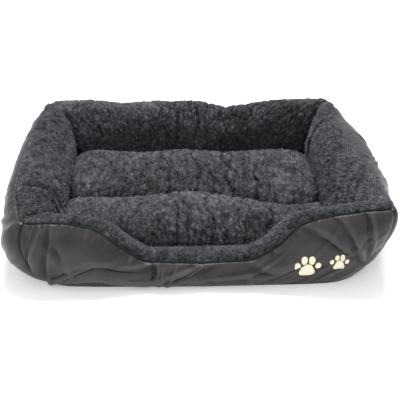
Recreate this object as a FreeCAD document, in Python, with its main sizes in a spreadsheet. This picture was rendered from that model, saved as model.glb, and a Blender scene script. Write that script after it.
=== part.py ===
"""A rectangular bolster bed for a pet: four stuffed walls sewn round a floor, and a loose two-lobe cushion.

Frame: +X along the bed's length, -Y towards the low entry in the front wall, +Z up.
The origin is the middle of the underside, on the ground.
"""

import FreeCAD, Part
import Sketcher
import math
import os

doc = FreeCAD.newDocument("CushionBed")
UP = FreeCAD.Vector(0, 0, 1)

# ---------------------------------------------------------------- driving sizes, millimetres and degrees

DRIVING_SIZES = [
    ("bed_length", 800, "outside, along X, at the widest part of the end walls"),
    ("bed_depth", 600, "outside, along Y, at the widest part of the front and rear walls"),
    ("wall_height", 180, "ground to the crest of the rim"),
    ("wall_reach", 94, "a wall's thickness on plan, from its inner foot to its widest part"),
    ("inner_kick", 50, "height at which a wall's inner face starts to lean outwards"),
    ("rim_radius", 22, "outside radius of the rolled rim"),
    ("rim_setback", 8, "how far the rim stays inside the widest part of the wall"),
    ("rim_start_angle", 145, "where the inner face runs into the rim, measured from outwards over the top"),
    ("rim_seam_angle", 15, "how far below level the rim seam lies on the outer side of the roll"),
    ("foot_inset", 18, "how far the outer foot is drawn in under the widest part"),
    ("entry_height", 84, "crest of the front wall in the middle of the entry"),
    ("entry_kick", 24, "inner kick in the middle of the entry"),
    ("entry_start_angle", 125, "rim start angle in the middle of the entry"),
    ("entry_floor_half", 125, "half the level bottom of the entry"),
    ("entry_brow_half", 235, "half the entry at the full height of the wall"),
    ("liner_thickness", 8, "plush cloth and its pile"),
    ("outer_thickness", 1, "coated woven cloth"),
    ("base_thickness", 1, "coated cloth of the underside"),
    ("wadding_thickness", 11, "wadding in the floor"),
    ("lining_thickness", 1, "lining cloth over the wadding"),
    ("cushion_clearance", 6, "free space between the cushion and the walls' inner faces"),
    ("cushion_lift_gap", 0.3, "free space between the cushion and the floor lining"),
    ("cushion_band", 32, "height of the cushion's straight sides"),
    ("cushion_crease", 34, "height of the seam between the two lobes"),
    ("cushion_crown", 82, "height of each lobe's crown"),
    ("cushion_base_thickness", 1.2, "cloth under the cushion"),
    ("zip_window_half", 215, "half the length of the zip opening"),
    ("zip_window_height", 24, "height of the zip opening"),
    ("zip_tape_thickness", 0.8, "woven zip tape"),
    ("zip_tape_setback", 0.7, "how far the tape's face lies inside the cushion's side"),
    ("zip_tape_gap", 2, "gap between the two tapes, under the coil"),
    ("zip_coil_half", 200, "half the length of the closed coil"),
    ("zip_coil_width", 4, "closed coil across both rows"),
    ("zip_coil_height", 1.4, "coil above the tape's face"),
    ("zip_stop_length", 3, "each stop along the zip"),
    ("zip_stop_height", 1.8, "each stop above the tape's face"),
    ("slider_length", 11, "slider along the zip"),
    ("slider_wall", 1.6, "thickness of the slider's plate and flanges"),
    ("slider_clearance", 0.3, "free space between the slider, the coil and the tape"),
    ("motif_thickness", 0.4, "printed film"),
    ("motif_bond", 0.2, "adhesive between the film and the panel"),
    ("motif_centre_x", 255, "middle of the paw prints along X"),
    ("motif_centre_z", 60, "middle of the paw prints above the ground"),
    ("motif_spacing", 66, "between the middles of the two paw prints"),
    ("motif_rise", 9, "how much higher the second paw print stands"),
    ("large_paw", 30, "half height of the large paw print"),
    ("small_paw", 22, "half height of the small paw print"),
]

sheet = doc.addObject("Spreadsheet::Sheet", "Sizes")
for row, (alias, value, note) in enumerate(DRIVING_SIZES, start=1):
    sheet.set(f"A{row}", alias)
    sheet.set(f"B{row}", str(value))
    sheet.set(f"C{row}", note)
    sheet.setAlias(f"B{row}", alias)
doc.recompute()

# Shared formulas, as expressions on the sheet
INNER_HALF_LENGTH = "(Sizes.bed_length / 2 - Sizes.wall_reach)"
INNER_HALF_DEPTH = "(Sizes.bed_depth / 2 - Sizes.wall_reach)"
FLOOR_TOP = "(Sizes.base_thickness + Sizes.wadding_thickness + Sizes.lining_thickness)"
CUSHION_BOTTOM = f"({FLOOR_TOP} + Sizes.cushion_lift_gap)"
CUSHION_FILL_BOTTOM = f"({CUSHION_BOTTOM} + Sizes.cushion_base_thickness)"
CUSHION_HALF_LENGTH = f"({INNER_HALF_LENGTH} - Sizes.cushion_clearance)"
CUSHION_HALF_DEPTH = f"({INNER_HALF_DEPTH} - Sizes.cushion_clearance)"
ZIP_CENTRE = f"({CUSHION_FILL_BOTTOM} + Sizes.zip_window_height / 2)"
ZIP_FACE = f"({CUSHION_HALF_DEPTH} - Sizes.zip_tape_setback)"


def number(formula):
    """The present value of a formula on the sheet, for a sketch's first guess."""
    return float(sheet.evalExpression(formula))


# ---------------------------------------------------------------- sketch and feature helpers


def new_body(label):
    body = doc.addObject("PartDesign::Body", label)
    body.Label = label
    return body


def new_sketch(body, plane_role, name, distance=None):
    """A sketch on one of the body's own planes, moved along that plane's normal by a formula."""
    sketch = body.newObject("Sketcher::SketchObject", name)
    plane = next(o for o in body.Origin.OriginFeatures if o.Role == plane_role)
    sketch.AttachmentSupport = [(plane, "")]
    sketch.MapMode = "FlatFace"
    if distance is not None:
        sketch.setExpression("AttachmentOffset.Base.z", distance)
    return sketch


START, END, CENTRE = 1, 2, 3
ORIGIN = (-1, 1)


class Outline:
    """Lines and arcs in one sketch, held by constraints whose sizes are formulas on the sheet."""

    def __init__(self, sketch):
        self.sketch = sketch

    def line(self, start, end, guide=False):
        segment = Part.LineSegment(FreeCAD.Vector(*start, 0), FreeCAD.Vector(*end, 0))
        return self.sketch.addGeometry(segment, guide)

    def arc(self, centre, radius, first, last, guide=False):
        """An anticlockwise arc; the angles are in radians."""
        circle = Part.Circle(FreeCAD.Vector(*centre, 0), UP, radius)
        return self.sketch.addGeometry(Part.ArcOfCircle(circle, first, last), guide)

    def hold(self, kind, *where, size=None):
        if size is None:
            return self.sketch.addConstraint(Sketcher.Constraint(kind, *where))
        index = self.sketch.addConstraint(Sketcher.Constraint(kind, *where, number(size)))
        self.sketch.setExpression(f"Constraints[{index}]", size)
        return index

    def place(self, point, across=None, up=None, start=ORIGIN):
        if across is not None:
            self.hold("DistanceX", *start, *point, size=across)
        if up is not None:
            self.hold("DistanceY", *start, *point, size=up)

    def join(self, first, second):
        self.hold("Coincident", *first, *second)

    def rectangle(self, low, high):
        """A rectangle between two corners, each a pair of formulas."""
        (x0, y0), (x1, y1) = [[number(f) for f in corner] for corner in (low, high)]
        corners = [(x0, y0), (x1, y0), (x1, y1), (x0, y1)]
        sides = [self.line(corners[i], corners[(i + 1) % 4]) for i in range(4)]
        for i in range(4):
            self.join((sides[i], END), (sides[(i + 1) % 4], START))
            self.hold("Horizontal" if i % 2 == 0 else "Vertical", sides[i])
        self.place((sides[0], START), *low)
        self.place((sides[2], START), *high)


def pad(body, sketch, length):
    """Material to both sides of the sketch, length in all."""
    feature = body.newObject("PartDesign::Pad", "Pad")
    feature.Profile = sketch
    feature.SideType = "Symmetric"
    feature.setExpression("Length", length)
    doc.recompute()
    return feature


def pocket(body, sketch, length):
    """A cut to both sides of the sketch, length in all, which has to remove something."""
    before = body.Shape.Volume
    feature = body.newObject("PartDesign::Pocket", "Pocket")
    feature.Profile = sketch
    feature.SideType = "Symmetric"
    feature.setExpression("Length", length)
    doc.recompute()
    if body.Shape.Volume >= before - 1:
        raise RuntimeError(f"{body.Label}: a pocket cut nothing")
    return feature


def box(label, size, low):
    """A cuboid from formulas for its three sizes and its lowest corner."""
    solid = doc.addObject("Part::Box", label)
    solid.Label = label
    for name, formula in zip(("Length", "Width", "Height"), size):
        solid.setExpression(name, formula)
    for axis, formula in zip("xyz", low):
        solid.setExpression(f"Placement.Base.{axis}", formula)
    return solid


# ---------------------------------------------------------------- the section of a stuffed wall
#
# Each wall is drawn as if it were the rear one: across is +Y, outwards from the bed, and up is +Z.
# The plush liner covers the inner face and rolls over the rim to the rim seam. The outer panel hangs
# from that seam, bulges to the wall's widest part and draws in to the foot. The fibre fill is between.


def wall_section(sketch, piece, inner, height, kick, start_angle):
    """Draw the liner, the fill, the outer panel or the printed film that lies on the outer panel.

    inner is the distance of the wall's inner foot from the bed's middle; all five are formulas.
    """
    outline = Outline(sketch)
    base = "Sizes.base_thickness"
    rim = "Sizes.rim_radius"
    liner = "Sizes.liner_thickness"
    widest = f"({inner} + Sizes.wall_reach)"
    rim_across = f"({widest} - Sizes.rim_setback - {rim})"
    rim_up = f"({height} - {rim})"
    foot = f"({widest} - Sizes.foot_inset)"

    # First guesses: the inner face is the arc through the kick that runs smoothly into the rim
    radius, thick, skin = number(rim), number(liner), number("Sizes.outer_thickness")
    cx, cz = number(rim_across), number(rim_up)
    x0, z0, zk = number(inner), number(base), number(kick)
    turn = math.radians(number(start_angle))
    seam = math.radians(-number("Sizes.rim_seam_angle"))
    run = (math.cos(turn), math.sin(turn))
    px, pz = cx + radius * run[0], cz + radius * run[1]
    lean = ((px - x0) ** 2 + (pz - zk) ** 2) / (2 * ((px - x0) * run[0] + (pz - zk) * run[1]))
    lean_centre = (px - lean * run[0], pz - lean * run[1])
    kick_angle = math.atan2(zk - lean_centre[1], x0 - lean_centre[0]) % (2 * math.pi)
    qx, qz = cx + radius * math.cos(seam), cz + radius * math.sin(seam)
    ex, wx = number(foot), number(widest)
    chord = math.hypot(qx - ex, qz - z0)
    bulge = wx - (qx + ex) / 2
    bow = (chord * chord / 4 + bulge * bulge) / (2 * bulge)
    bow_centre = (wx - bow, (qz + z0) / 2)
    top_angle = math.atan2(qz - bow_centre[1], qx - bow_centre[0])
    foot_angle = math.atan2(z0 - bow_centre[1], ex - bow_centre[0])

    # The outside of the whole wall, which every piece is set out from
    face = outline.line((x0, z0), (x0, zk), piece != "liner")
    slope = outline.arc(lean_centre, lean, turn, kick_angle, piece != "liner")
    roll = outline.arc((cx, cz), radius, seam, turn, piece != "liner")
    side = outline.arc(bow_centre, bow, foot_angle, top_angle, piece not in ("panel", "film"))
    limit = outline.line((wx, z0), (wx, cz), True)
    outline.place((face, START), inner, base)
    outline.hold("Vertical", face)
    outline.place((face, END), up=kick)
    outline.join((face, END), (slope, END))
    outline.hold("Tangent", slope, START, roll, END)
    outline.place((roll, CENTRE), rim_across, rim_up)
    outline.hold("Radius", roll, size=rim)
    outline.place((roll, END), up=f"{rim} * sin({start_angle})", start=(roll, CENTRE))
    outline.place((roll, START), up=f"-{rim} * sin(Sizes.rim_seam_angle)", start=(roll, CENTRE))
    outline.join((side, END), (roll, START))
    outline.place((side, START), foot, base)
    outline.place((limit, START), widest, base)
    outline.place((limit, END), up=rim_up)
    outline.hold("Vertical", limit)
    outline.hold("Tangent", side, limit)

    if piece in ("liner", "fill"):
        # The boundary between the liner and the fill, one liner thickness inside
        inner_roll = outline.arc((cx, cz), radius - thick, seam, turn)
        inner_slope = outline.arc(lean_centre, lean - thick, turn, kick_angle)
        reach = lean - thick
        drop = math.sqrt(max(reach**2 - (x0 + thick - lean_centre[0]) ** 2, 0))
        inner_kick = lean_centre[1] + math.copysign(drop, zk - lean_centre[1])
        inner_face = outline.line((x0 + thick, z0), (x0 + thick, inner_kick))
        outline.join((inner_roll, CENTRE), (roll, CENTRE))
        outline.hold("Radius", inner_roll, size=f"{rim} - {liner}")
        outline.join((inner_slope, CENTRE), (slope, CENTRE))
        outline.hold("Tangent", inner_slope, START, inner_roll, END)
        outline.place((inner_face, START), f"{inner} + {liner}", base)
        outline.hold("Vertical", inner_face)
        outline.join((inner_face, END), (inner_slope, END))
        ix, iz = cx + (radius - thick) * math.cos(seam), cz + (radius - thick) * math.sin(seam)

    if piece == "liner":
        edge = outline.line((qx, qz), (ix, iz))
        outline.join((edge, START), (roll, START))
        outline.join((edge, END), (inner_roll, START))
        outline.hold("PointOnObject", roll, CENTRE, edge)
        toe = outline.line((x0 + thick, z0), (x0, z0))
        outline.join((toe, START), (inner_face, START))
        outline.join((toe, END), (face, START))
        return

    # The line at the rim seam, where the skins' thickness is measured, and the arc that keeps it
    level = "cos(Sizes.rim_seam_angle)"
    step = skin
    if piece == "film":
        step = -number("Sizes.motif_thickness")
    sx, sz = qx - step * math.cos(seam), qz - step * math.sin(seam)
    offset = outline.arc(bow_centre, bow - step, foot_angle, top_angle)
    outline.join((offset, CENTRE), (side, CENTRE))
    foot_x = bow_centre[0] + math.sqrt((bow - step) ** 2 - (z0 - bow_centre[1]) ** 2)
    outline.place((offset, START), up=base)

    if piece == "fill":
        edge = outline.line((ix, iz), (sx, sz))
        outline.join((edge, START), (inner_roll, START))
        outline.join((edge, END), (offset, END))
        outline.hold("PointOnObject", roll, CENTRE, edge)
        outline.hold("PointOnObject", roll, START, edge)
        outline.hold("DistanceX", edge, END, roll, START, size=f"Sizes.outer_thickness * {level}")
        toe = outline.line((foot_x, z0), (x0 + thick, z0))
        outline.join((toe, START), (offset, START))
        outline.join((toe, END), (inner_face, START))
        return

    edge = outline.line((qx, qz), (sx, sz))
    outline.join((edge, START), (roll, START))
    outline.join((edge, END), (offset, END))
    outline.hold("PointOnObject", roll, CENTRE, edge)
    if piece == "film":
        outline.hold("DistanceX", edge, START, edge, END, size=f"Sizes.motif_thickness * {level}")
    else:
        outline.hold("DistanceX", edge, END, edge, START, size=f"Sizes.outer_thickness * {level}")
    toe = outline.line((foot_x, z0), (ex, z0))
    outline.join((toe, START), (offset, START))
    outline.join((toe, END), (side, START))


def mitre(body, inner, inner_half, outer_half):
    """Cut both ends of a wall at 45 degrees, along the line through its inner corner and its outer one."""
    sketch = new_sketch(body, "XY_Plane", "Mitre")
    outline = Outline(sketch)
    spare = "Sizes.wall_reach / 4"
    outer = f"({inner} + Sizes.wall_reach)"
    for side in ("", "-"):
        near = (f"{side}({inner_half} - {spare})", f"({inner} - {spare})")
        past = (f"{side}({outer_half} + Sizes.wall_reach)", f"({outer} + Sizes.wall_reach)")
        square = (past[0], near[1])
        corners = [[number(f) for f in corner] for corner in (near, past, square)]
        edges = [outline.line(corners[i], corners[(i + 1) % 3]) for i in range(3)]
        for i, corner in enumerate((near, past, square)):
            outline.place((edges[i], START), *corner)
            outline.join((edges[i], END), (edges[(i + 1) % 3], START))
    pocket(body, sketch, "3 * Sizes.wall_height")


# ---------------------------------------------------------------- the four walls, three pieces each

WALL_PIECES = {"liner": "liner", "panel": "outer_panel", "fill": "bolster_fill"}
FULL_HEIGHT = ("Sizes.wall_height", "Sizes.inner_kick", "Sizes.rim_start_angle")


def straight_wall(label, piece, inner, inner_half, outer_half, turn):
    """A wall of one height; turn is its angle round the bed from the rear wall."""
    body = new_body(label)
    sketch = new_sketch(body, "YZ_Plane", "Section")
    wall_section(sketch, piece, inner, *FULL_HEIGHT)
    pad(body, sketch, f"2 * {outer_half}")
    mitre(body, inner, inner_half, outer_half)
    body.Placement = FreeCAD.Placement(FreeCAD.Vector(), FreeCAD.Rotation(UP, turn))
    return body


ACROSS_BED = (INNER_HALF_DEPTH, INNER_HALF_LENGTH, "(Sizes.bed_length / 2)")
ALONG_BED = (INNER_HALF_LENGTH, INNER_HALF_DEPTH, "(Sizes.bed_depth / 2)")
walls = []
for piece, name in WALL_PIECES.items():
    walls.append(straight_wall(f"rear_{name}", piece, *ACROSS_BED, 0))
    walls.append(straight_wall(f"left_{name}", piece, *ALONG_BED, 90))
    walls.append(straight_wall(f"right_{name}", piece, *ALONG_BED, -90))

# The front wall dips in the middle, so that the animal can step in. Its crest falls from the full
# height along an S-curve, set out at five places on each side.
ENTRY_STEPS = 4


def entry_blend(step):
    """How far up the S-curve a step lies, from 0 at the bottom of the entry to 1 at the brow."""
    share = step / ENTRY_STEPS
    return share * share * (3 - 2 * share)


def entry_station(step):
    """Distance from the middle, height, kick and rim start angle at one step of the S-curve."""
    share = step / ENTRY_STEPS
    blend = entry_blend(step)
    across = f"(Sizes.entry_floor_half + (Sizes.entry_brow_half - Sizes.entry_floor_half) * {share})"
    lows = ("entry_height", "entry_kick", "entry_start_angle")
    highs = ("wall_height", "inner_kick", "rim_start_angle")
    shape = [f"(Sizes.{low} + (Sizes.{high} - Sizes.{low}) * {blend})" for low, high in zip(lows, highs)]
    return across, shape


def front_wall(label, piece, stations):
    """A wall lofted through its sections, each a distance along the wall and its shape."""
    body = new_body(label)
    sections = []
    for index, (along, shape) in enumerate(stations):
        sketch = new_sketch(body, "YZ_Plane", f"Section{index}", along)
        wall_section(sketch, piece, INNER_HALF_DEPTH, *shape)
        sections.append(sketch)
    doc.recompute()
    loft = body.newObject("PartDesign::AdditiveLoft", "Loft")
    loft.Profile = sections[0]
    loft.Sections = sections[1:]
    loft.Ruled = True
    doc.recompute()
    return body


steps = [entry_station(step) for step in range(ENTRY_STEPS + 1)]
front_end = ("Sizes.bed_length / 2", FULL_HEIGHT)
one_side = steps + [front_end]
stations = [(f"-({along})", shape) for along, shape in reversed(one_side)] + one_side
for piece, name in WALL_PIECES.items():
    body = front_wall(f"front_{name}", piece, stations)
    mitre(body, INNER_HALF_DEPTH, INNER_HALF_LENGTH, "(Sizes.bed_length / 2)")
    body.Placement = FreeCAD.Placement(FreeCAD.Vector(), FreeCAD.Rotation(UP, 180))
    walls.append(body)

# ---------------------------------------------------------------- the printed paw prints
#
# Two paw prints in a thin film on the front panel. The film follows the panel; each pad is a round
# or oval disc through it. The film uses the panel's own sections, so the two meet all over. The wall
# is drawn turned round, so the film lies at -X on its own axes.

PAW_TOES = [  # across and up from the paw's middle, half width and half height, as shares of its size
    (-0.72, 0.16, 0.20, 0.27),
    (-0.26, 0.62, 0.21, 0.30),
    (0.26, 0.62, 0.21, 0.30),
    (0.72, 0.16, 0.20, 0.27),
]
PAW_HEEL = [(0, 0.02, 0.34), (-0.30, -0.46, 0.27), (0.30, -0.46, 0.27)]  # corner circles of the heel pad


def oval(outline, across, up, half_width, half_height):
    """An upright oval of two straight sides and two round ends."""
    x, z, rx, rz = [number(f) for f in (across, up, half_width, half_height)]
    rise = f"({half_height} - {half_width})"
    top = outline.arc((x, z + rz - rx), rx, 0, math.pi)
    bottom = outline.arc((x, z - rz + rx), rx, math.pi, 2 * math.pi)
    left = outline.line((x - rx, z + rz - rx), (x - rx, z - rz + rx))
    right = outline.line((x + rx, z - rz + rx), (x + rx, z + rz - rx))
    outline.hold("Tangent", top, END, left, START)
    outline.hold("Tangent", left, END, bottom, START)
    outline.hold("Tangent", bottom, END, right, START)
    outline.hold("Tangent", right, END, top, START)
    outline.hold("Vertical", left)
    outline.hold("Vertical", right)
    outline.place((top, CENTRE), across, f"({up} + {rise})")
    outline.place((bottom, CENTRE), up=f"({up} - {rise})")
    outline.hold("Radius", top, size=half_width)


def heel(outline, across, up, paw):
    """The heel pad: three corner circles with their common tangents."""
    spots = [[number(f"{across} + {dx} * {paw}"), number(f"{up} + {dz} * {paw}"), r * number(paw)]
             for dx, dz, r in PAW_HEEL]
    arcs, turns = [], []
    for i in range(3):
        x0, z0, r0 = spots[i]
        x1, z1, r1 = spots[(i + 1) % 3]
        gap = math.hypot(x1 - x0, z1 - z0)
        along = math.atan2(z1 - z0, x1 - x0)
        turns.append(along - math.acos((r0 - r1) / gap))
    for i, (x, z, r) in enumerate(spots):
        first, last = turns[i - 1], turns[i]
        while last < first:
            last += 2 * math.pi
        arcs.append(outline.arc((x, z), r, first, last))
    for i in range(3):
        j = (i + 1) % 3
        level, rise = math.cos(turns[i]), math.sin(turns[i])
        ends = [(x + r * level, z + r * rise) for x, z, r in (spots[i], spots[j])]
        tangent = outline.line(*ends)
        outline.hold("Tangent", arcs[i], END, tangent, START)
        outline.hold("Tangent", tangent, END, arcs[j], START)
    for i, (dx, dz, share) in enumerate(PAW_HEEL):
        outline.place((arcs[i], CENTRE), f"({across} + {dx} * {paw})", f"({up} + {dz} * {paw})")
        outline.hold("Radius", arcs[i], size=f"{share} * {paw}")


film_reach = "(Sizes.motif_spacing / 2 + Sizes.large_paw * 1.2)"
film_start = number(f"-(Sizes.motif_centre_x + {film_reach})")
film_stop = number(f"-(Sizes.motif_centre_x - {film_reach})")
places = [number(along) for along, shape in stations]
first_station = max(i for i, place in enumerate(places) if place <= film_start)
last_station = min(i for i, place in enumerate(places) if place >= film_stop)
film_stations = stations[first_station:last_station + 1]
film = front_wall("motif_film", "film", film_stations)
film.Placement = FreeCAD.Placement(FreeCAD.Vector(), FreeCAD.Rotation(UP, 180))
film.setExpression("Placement.Base.y", "-Sizes.motif_bond")

paw_cutter = new_body("motif_outline")
paw_sketch = new_sketch(paw_cutter, "XZ_Plane", "Paws", "Sizes.bed_depth / 2")
paw_outline = Outline(paw_sketch)
HALF_SPACING = "Sizes.motif_spacing / 2"
RAISED = "(Sizes.motif_centre_z + Sizes.motif_rise)"
PAWS = [
    (f"(Sizes.motif_centre_x - {HALF_SPACING})", "Sizes.motif_centre_z", "Sizes.large_paw"),
    (f"(Sizes.motif_centre_x + {HALF_SPACING})", RAISED, "Sizes.small_paw"),
]
for across, up, paw in PAWS:
    heel(paw_outline, across, up, paw)
    for dx, dz, rx, rz in PAW_TOES:
        toe_middle = (f"({across} + {dx} * {paw})", f"({up} + {dz} * {paw})")
        oval(paw_outline, *toe_middle, f"({rx} * {paw})", f"({rz} * {paw})")
pad(paw_cutter, paw_sketch, "2 * Sizes.wall_reach")

motif = doc.addObject("Part::Common", "front_motif")
motif.Label = "front_motif"
motif.Base = film
motif.Tool = paw_cutter

# ---------------------------------------------------------------- the floor of the nest

FOOT_HALF_LENGTH = "(Sizes.bed_length / 2 - Sizes.foot_inset)"
FOOT_HALF_DEPTH = "(Sizes.bed_depth / 2 - Sizes.foot_inset)"
base_panel = box(
    "base_panel",
    (f"2 * {FOOT_HALF_LENGTH}", f"2 * {FOOT_HALF_DEPTH}", "Sizes.base_thickness"),
    (f"-{FOOT_HALF_LENGTH}", f"-{FOOT_HALF_DEPTH}", "0"),
)
floor_size = (f"2 * {INNER_HALF_LENGTH}", f"2 * {INNER_HALF_DEPTH}")
floor_corner = (f"-{INNER_HALF_LENGTH}", f"-{INNER_HALF_DEPTH}")
floor_wadding = box(
    "floor_wadding", (*floor_size, "Sizes.wadding_thickness"), (*floor_corner, "Sizes.base_thickness")
)
floor_lining = box(
    "floor_lining",
    (*floor_size, "Sizes.lining_thickness"),
    (*floor_corner, "Sizes.base_thickness + Sizes.wadding_thickness"),
)

# ---------------------------------------------------------------- the loose cushion
#
# Plush top and sides over two long lobes of fill, with a seam between them, and a plain cloth bottom.


LOBES = ((1, ""), (-1, "-"))  # the rear lobe and the front one, with the sign of their formulas
LEVEL_HALF = 10  # half length of the short level guides that the lobes' curves touch


def level_guide(outline, sign, height):
    """A short level guide above the middle of a lobe, which the lobe's curve touches."""
    across = number(f"{sign}{CUSHION_HALF_DEPTH} / 2")
    up = number(height)
    guide = outline.line((across - LEVEL_HALF, up), (across + LEVEL_HALF, up), True)
    outline.place((guide, START), f"{sign}{CUSHION_HALF_DEPTH} / 2 - {LEVEL_HALF}", height)
    outline.place((guide, END), f"{sign}{CUSHION_HALF_DEPTH} / 2 + {LEVEL_HALF}")
    outline.hold("Horizontal", guide)
    return guide


def cushion_section(sketch, inset, lobes):
    """The section through one lobe or both, at an inset from the outside of the cloth.

    Each lobe's curve runs from the middle seam to the cushion's side and just touches the crown.
    """
    outline = Outline(sketch)
    crease = f"({CUSHION_BOTTOM} + Sizes.cushion_crease - {inset})"
    band = f"({CUSHION_BOTTOM} + Sizes.cushion_band - {inset})"
    crown = f"({CUSHION_BOTTOM} + Sizes.cushion_crown - {inset})"
    side_of = f"({CUSHION_HALF_DEPTH} - {inset})"
    half, bottom = number(side_of), number(CUSHION_FILL_BOTTOM)
    sag = number(crown) - (number(crease) + number(band)) / 2
    radius = (half * half / 4 + sag * sag) / (2 * sag)
    middle = number(crown) - radius
    curves = []
    for side, sign in lobes:
        ends = sorted((math.atan2(number(band) - middle, side * half / 2),
                       math.atan2(number(crease) - middle, -side * half / 2)))
        outer_end, inner_end = (START, END) if side > 0 else (END, START)
        curve = outline.arc((side * half / 2, middle), radius, *ends)
        outline.hold("Tangent", curve, level_guide(outline, sign, crown))
        outline.place((curve, outer_end), f"{sign}{side_of}", band)
        if not curves:
            outline.place((curve, inner_end), "0", crease)
        wall = outline.line((side * half, number(band)), (side * half, bottom))
        outline.join((wall, START), (curve, outer_end))
        outline.hold("Vertical", wall)
        outline.place((wall, END), up=CUSHION_FILL_BOTTOM)
        curves.append((curve, inner_end, wall, side * half))
    first, last = curves[0], curves[-1]
    if len(curves) == 2:
        outline.join(first[:2], last[:2])
        floor = outline.line((first[3], bottom), (last[3], bottom))
        outline.join((floor, END), (last[2], END))
    else:
        floor = outline.line((first[3], bottom), (0, bottom))
        middle_line = outline.line((0, bottom), (0, number(crease)))
        outline.join((floor, END), (middle_line, START))
        outline.join((middle_line, END), first[:2])
        outline.place((middle_line, START), "0", CUSHION_FILL_BOTTOM)
    outline.join((floor, START), (first[2], END))


PLUSH = "Sizes.liner_thickness"
cushion_top = new_body("cushion_top_panel")
skin_sketch = new_sketch(cushion_top, "YZ_Plane", "Skin")
cushion_section(skin_sketch, "0", LOBES)
pad(cushion_top, skin_sketch, f"2 * {CUSHION_HALF_LENGTH}")
hollow_sketch = new_sketch(cushion_top, "YZ_Plane", "Hollow")
cushion_section(hollow_sketch, PLUSH, LOBES)
pocket(cushion_top, hollow_sketch, f"2 * ({CUSHION_HALF_LENGTH} - {PLUSH})")
window_sketch = new_sketch(cushion_top, "XZ_Plane", "ZipWindow", f"-{CUSHION_HALF_DEPTH}")
Outline(window_sketch).rectangle(
    ("-Sizes.zip_window_half", CUSHION_FILL_BOTTOM),
    ("Sizes.zip_window_half", f"({CUSHION_FILL_BOTTOM} + Sizes.zip_window_height)"),
)
pocket(cushion_top, window_sketch, f"4 * {PLUSH}")

cushion_fills = []
for (side, sign), label in zip(LOBES, ("cushion_fill_rear", "cushion_fill_front")):
    fill = new_body(label)
    fill_sketch = new_sketch(fill, "YZ_Plane", "Lobe")
    cushion_section(fill_sketch, PLUSH, ((side, sign),))
    pad(fill, fill_sketch, f"2 * ({CUSHION_HALF_LENGTH} - {PLUSH})")
    cushion_fills.append(fill)

cushion_bottom = box(
    "cushion_bottom_panel",
    (f"2 * {CUSHION_HALF_LENGTH}", f"2 * {CUSHION_HALF_DEPTH}", "Sizes.cushion_base_thickness"),
    (f"-{CUSHION_HALF_LENGTH}", f"-{CUSHION_HALF_DEPTH}", CUSHION_BOTTOM),
)

# ---------------------------------------------------------------- the cushion's zip, along its rear side


def group(label, solids):
    """Separate solids of one kind in one object."""
    together = doc.addObject("Part::Compound", label)
    together.Label = label
    together.Links = solids
    return together


tape_height = "((Sizes.zip_window_height - Sizes.zip_tape_gap) / 2)"
tape_size = ("2 * Sizes.zip_window_half", "Sizes.zip_tape_thickness", tape_height)
tape_y = f"({ZIP_FACE} - Sizes.zip_tape_thickness)"
upper_tape_z = f"({ZIP_CENTRE} + Sizes.zip_tape_gap / 2)"
zip_tapes = group("zip_tapes", [
    box("lower_tape", tape_size, ("-Sizes.zip_window_half", tape_y, CUSHION_FILL_BOTTOM)),
    box("upper_tape", tape_size, ("-Sizes.zip_window_half", tape_y, upper_tape_z)),
])
zip_coil = box(
    "zip_coil",
    ("2 * Sizes.zip_coil_half", "Sizes.zip_coil_height", "Sizes.zip_coil_width"),
    ("-Sizes.zip_coil_half", ZIP_FACE, f"({ZIP_CENTRE} - Sizes.zip_coil_width / 2)"),
)
stop_size = ("Sizes.zip_stop_length", "Sizes.zip_stop_height", "Sizes.zip_coil_width")
stop_z = f"({ZIP_CENTRE} - Sizes.zip_coil_width / 2)"
zip_stops = group("zip_stops", [
    box("left_stop", stop_size, ("-(Sizes.zip_coil_half + Sizes.zip_stop_length)", ZIP_FACE, stop_z)),
    box("right_stop", stop_size, ("Sizes.zip_coil_half", ZIP_FACE, stop_z)),
])

# The slider is a plate over the coil with a flange along each edge of the coil. It stands at the
# closed end, at -X, one clearance from the stop.
slider_body = new_body("zip_slider")
slider_start = "-(Sizes.zip_coil_half - Sizes.slider_clearance - Sizes.slider_length / 2)"
slider_sketch = new_sketch(slider_body, "YZ_Plane", "Channel", slider_start)
slider_outline = Outline(slider_sketch)
flange_foot = f"({ZIP_FACE} + Sizes.slider_clearance)"
plate_under = f"({ZIP_FACE} + Sizes.zip_coil_height + Sizes.slider_clearance)"
plate_top = f"({plate_under} + Sizes.slider_wall)"
channel_half = "(Sizes.zip_coil_width / 2 + Sizes.slider_clearance)"
flange_half = f"({channel_half} + Sizes.slider_wall)"
channel = [
    (flange_foot, f"({ZIP_CENTRE} - {flange_half})"),
    (plate_top, f"({ZIP_CENTRE} - {flange_half})"),
    (plate_top, f"({ZIP_CENTRE} + {flange_half})"),
    (flange_foot, f"({ZIP_CENTRE} + {flange_half})"),
    (flange_foot, f"({ZIP_CENTRE} + {channel_half})"),
    (plate_under, f"({ZIP_CENTRE} + {channel_half})"),
    (plate_under, f"({ZIP_CENTRE} - {channel_half})"),
    (flange_foot, f"({ZIP_CENTRE} - {channel_half})"),
]
corners = [[number(f) for f in corner] for corner in channel]
edges = [slider_outline.line(corners[i - 1], corners[i]) for i in range(len(channel))]
for i, corner in enumerate(channel):
    slider_outline.place((edges[i], END), *corner)
    slider_outline.join((edges[i], START), (edges[i - 1], END))
pad(slider_body, slider_sketch, "Sizes.slider_length")

# ---------------------------------------------------------------- check every object, then write the parts

doc.recompute()
for item in doc.Objects:
    if "Invalid" in item.State or "Error" in item.State:
        raise RuntimeError(f"{item.Label} did not recompute: {item.State}")
    if item.TypeId == "Sketcher::SketchObject" and not item.FullyConstrained:
        raise RuntimeError(f"{item.Label} has loose geometry")

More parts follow.
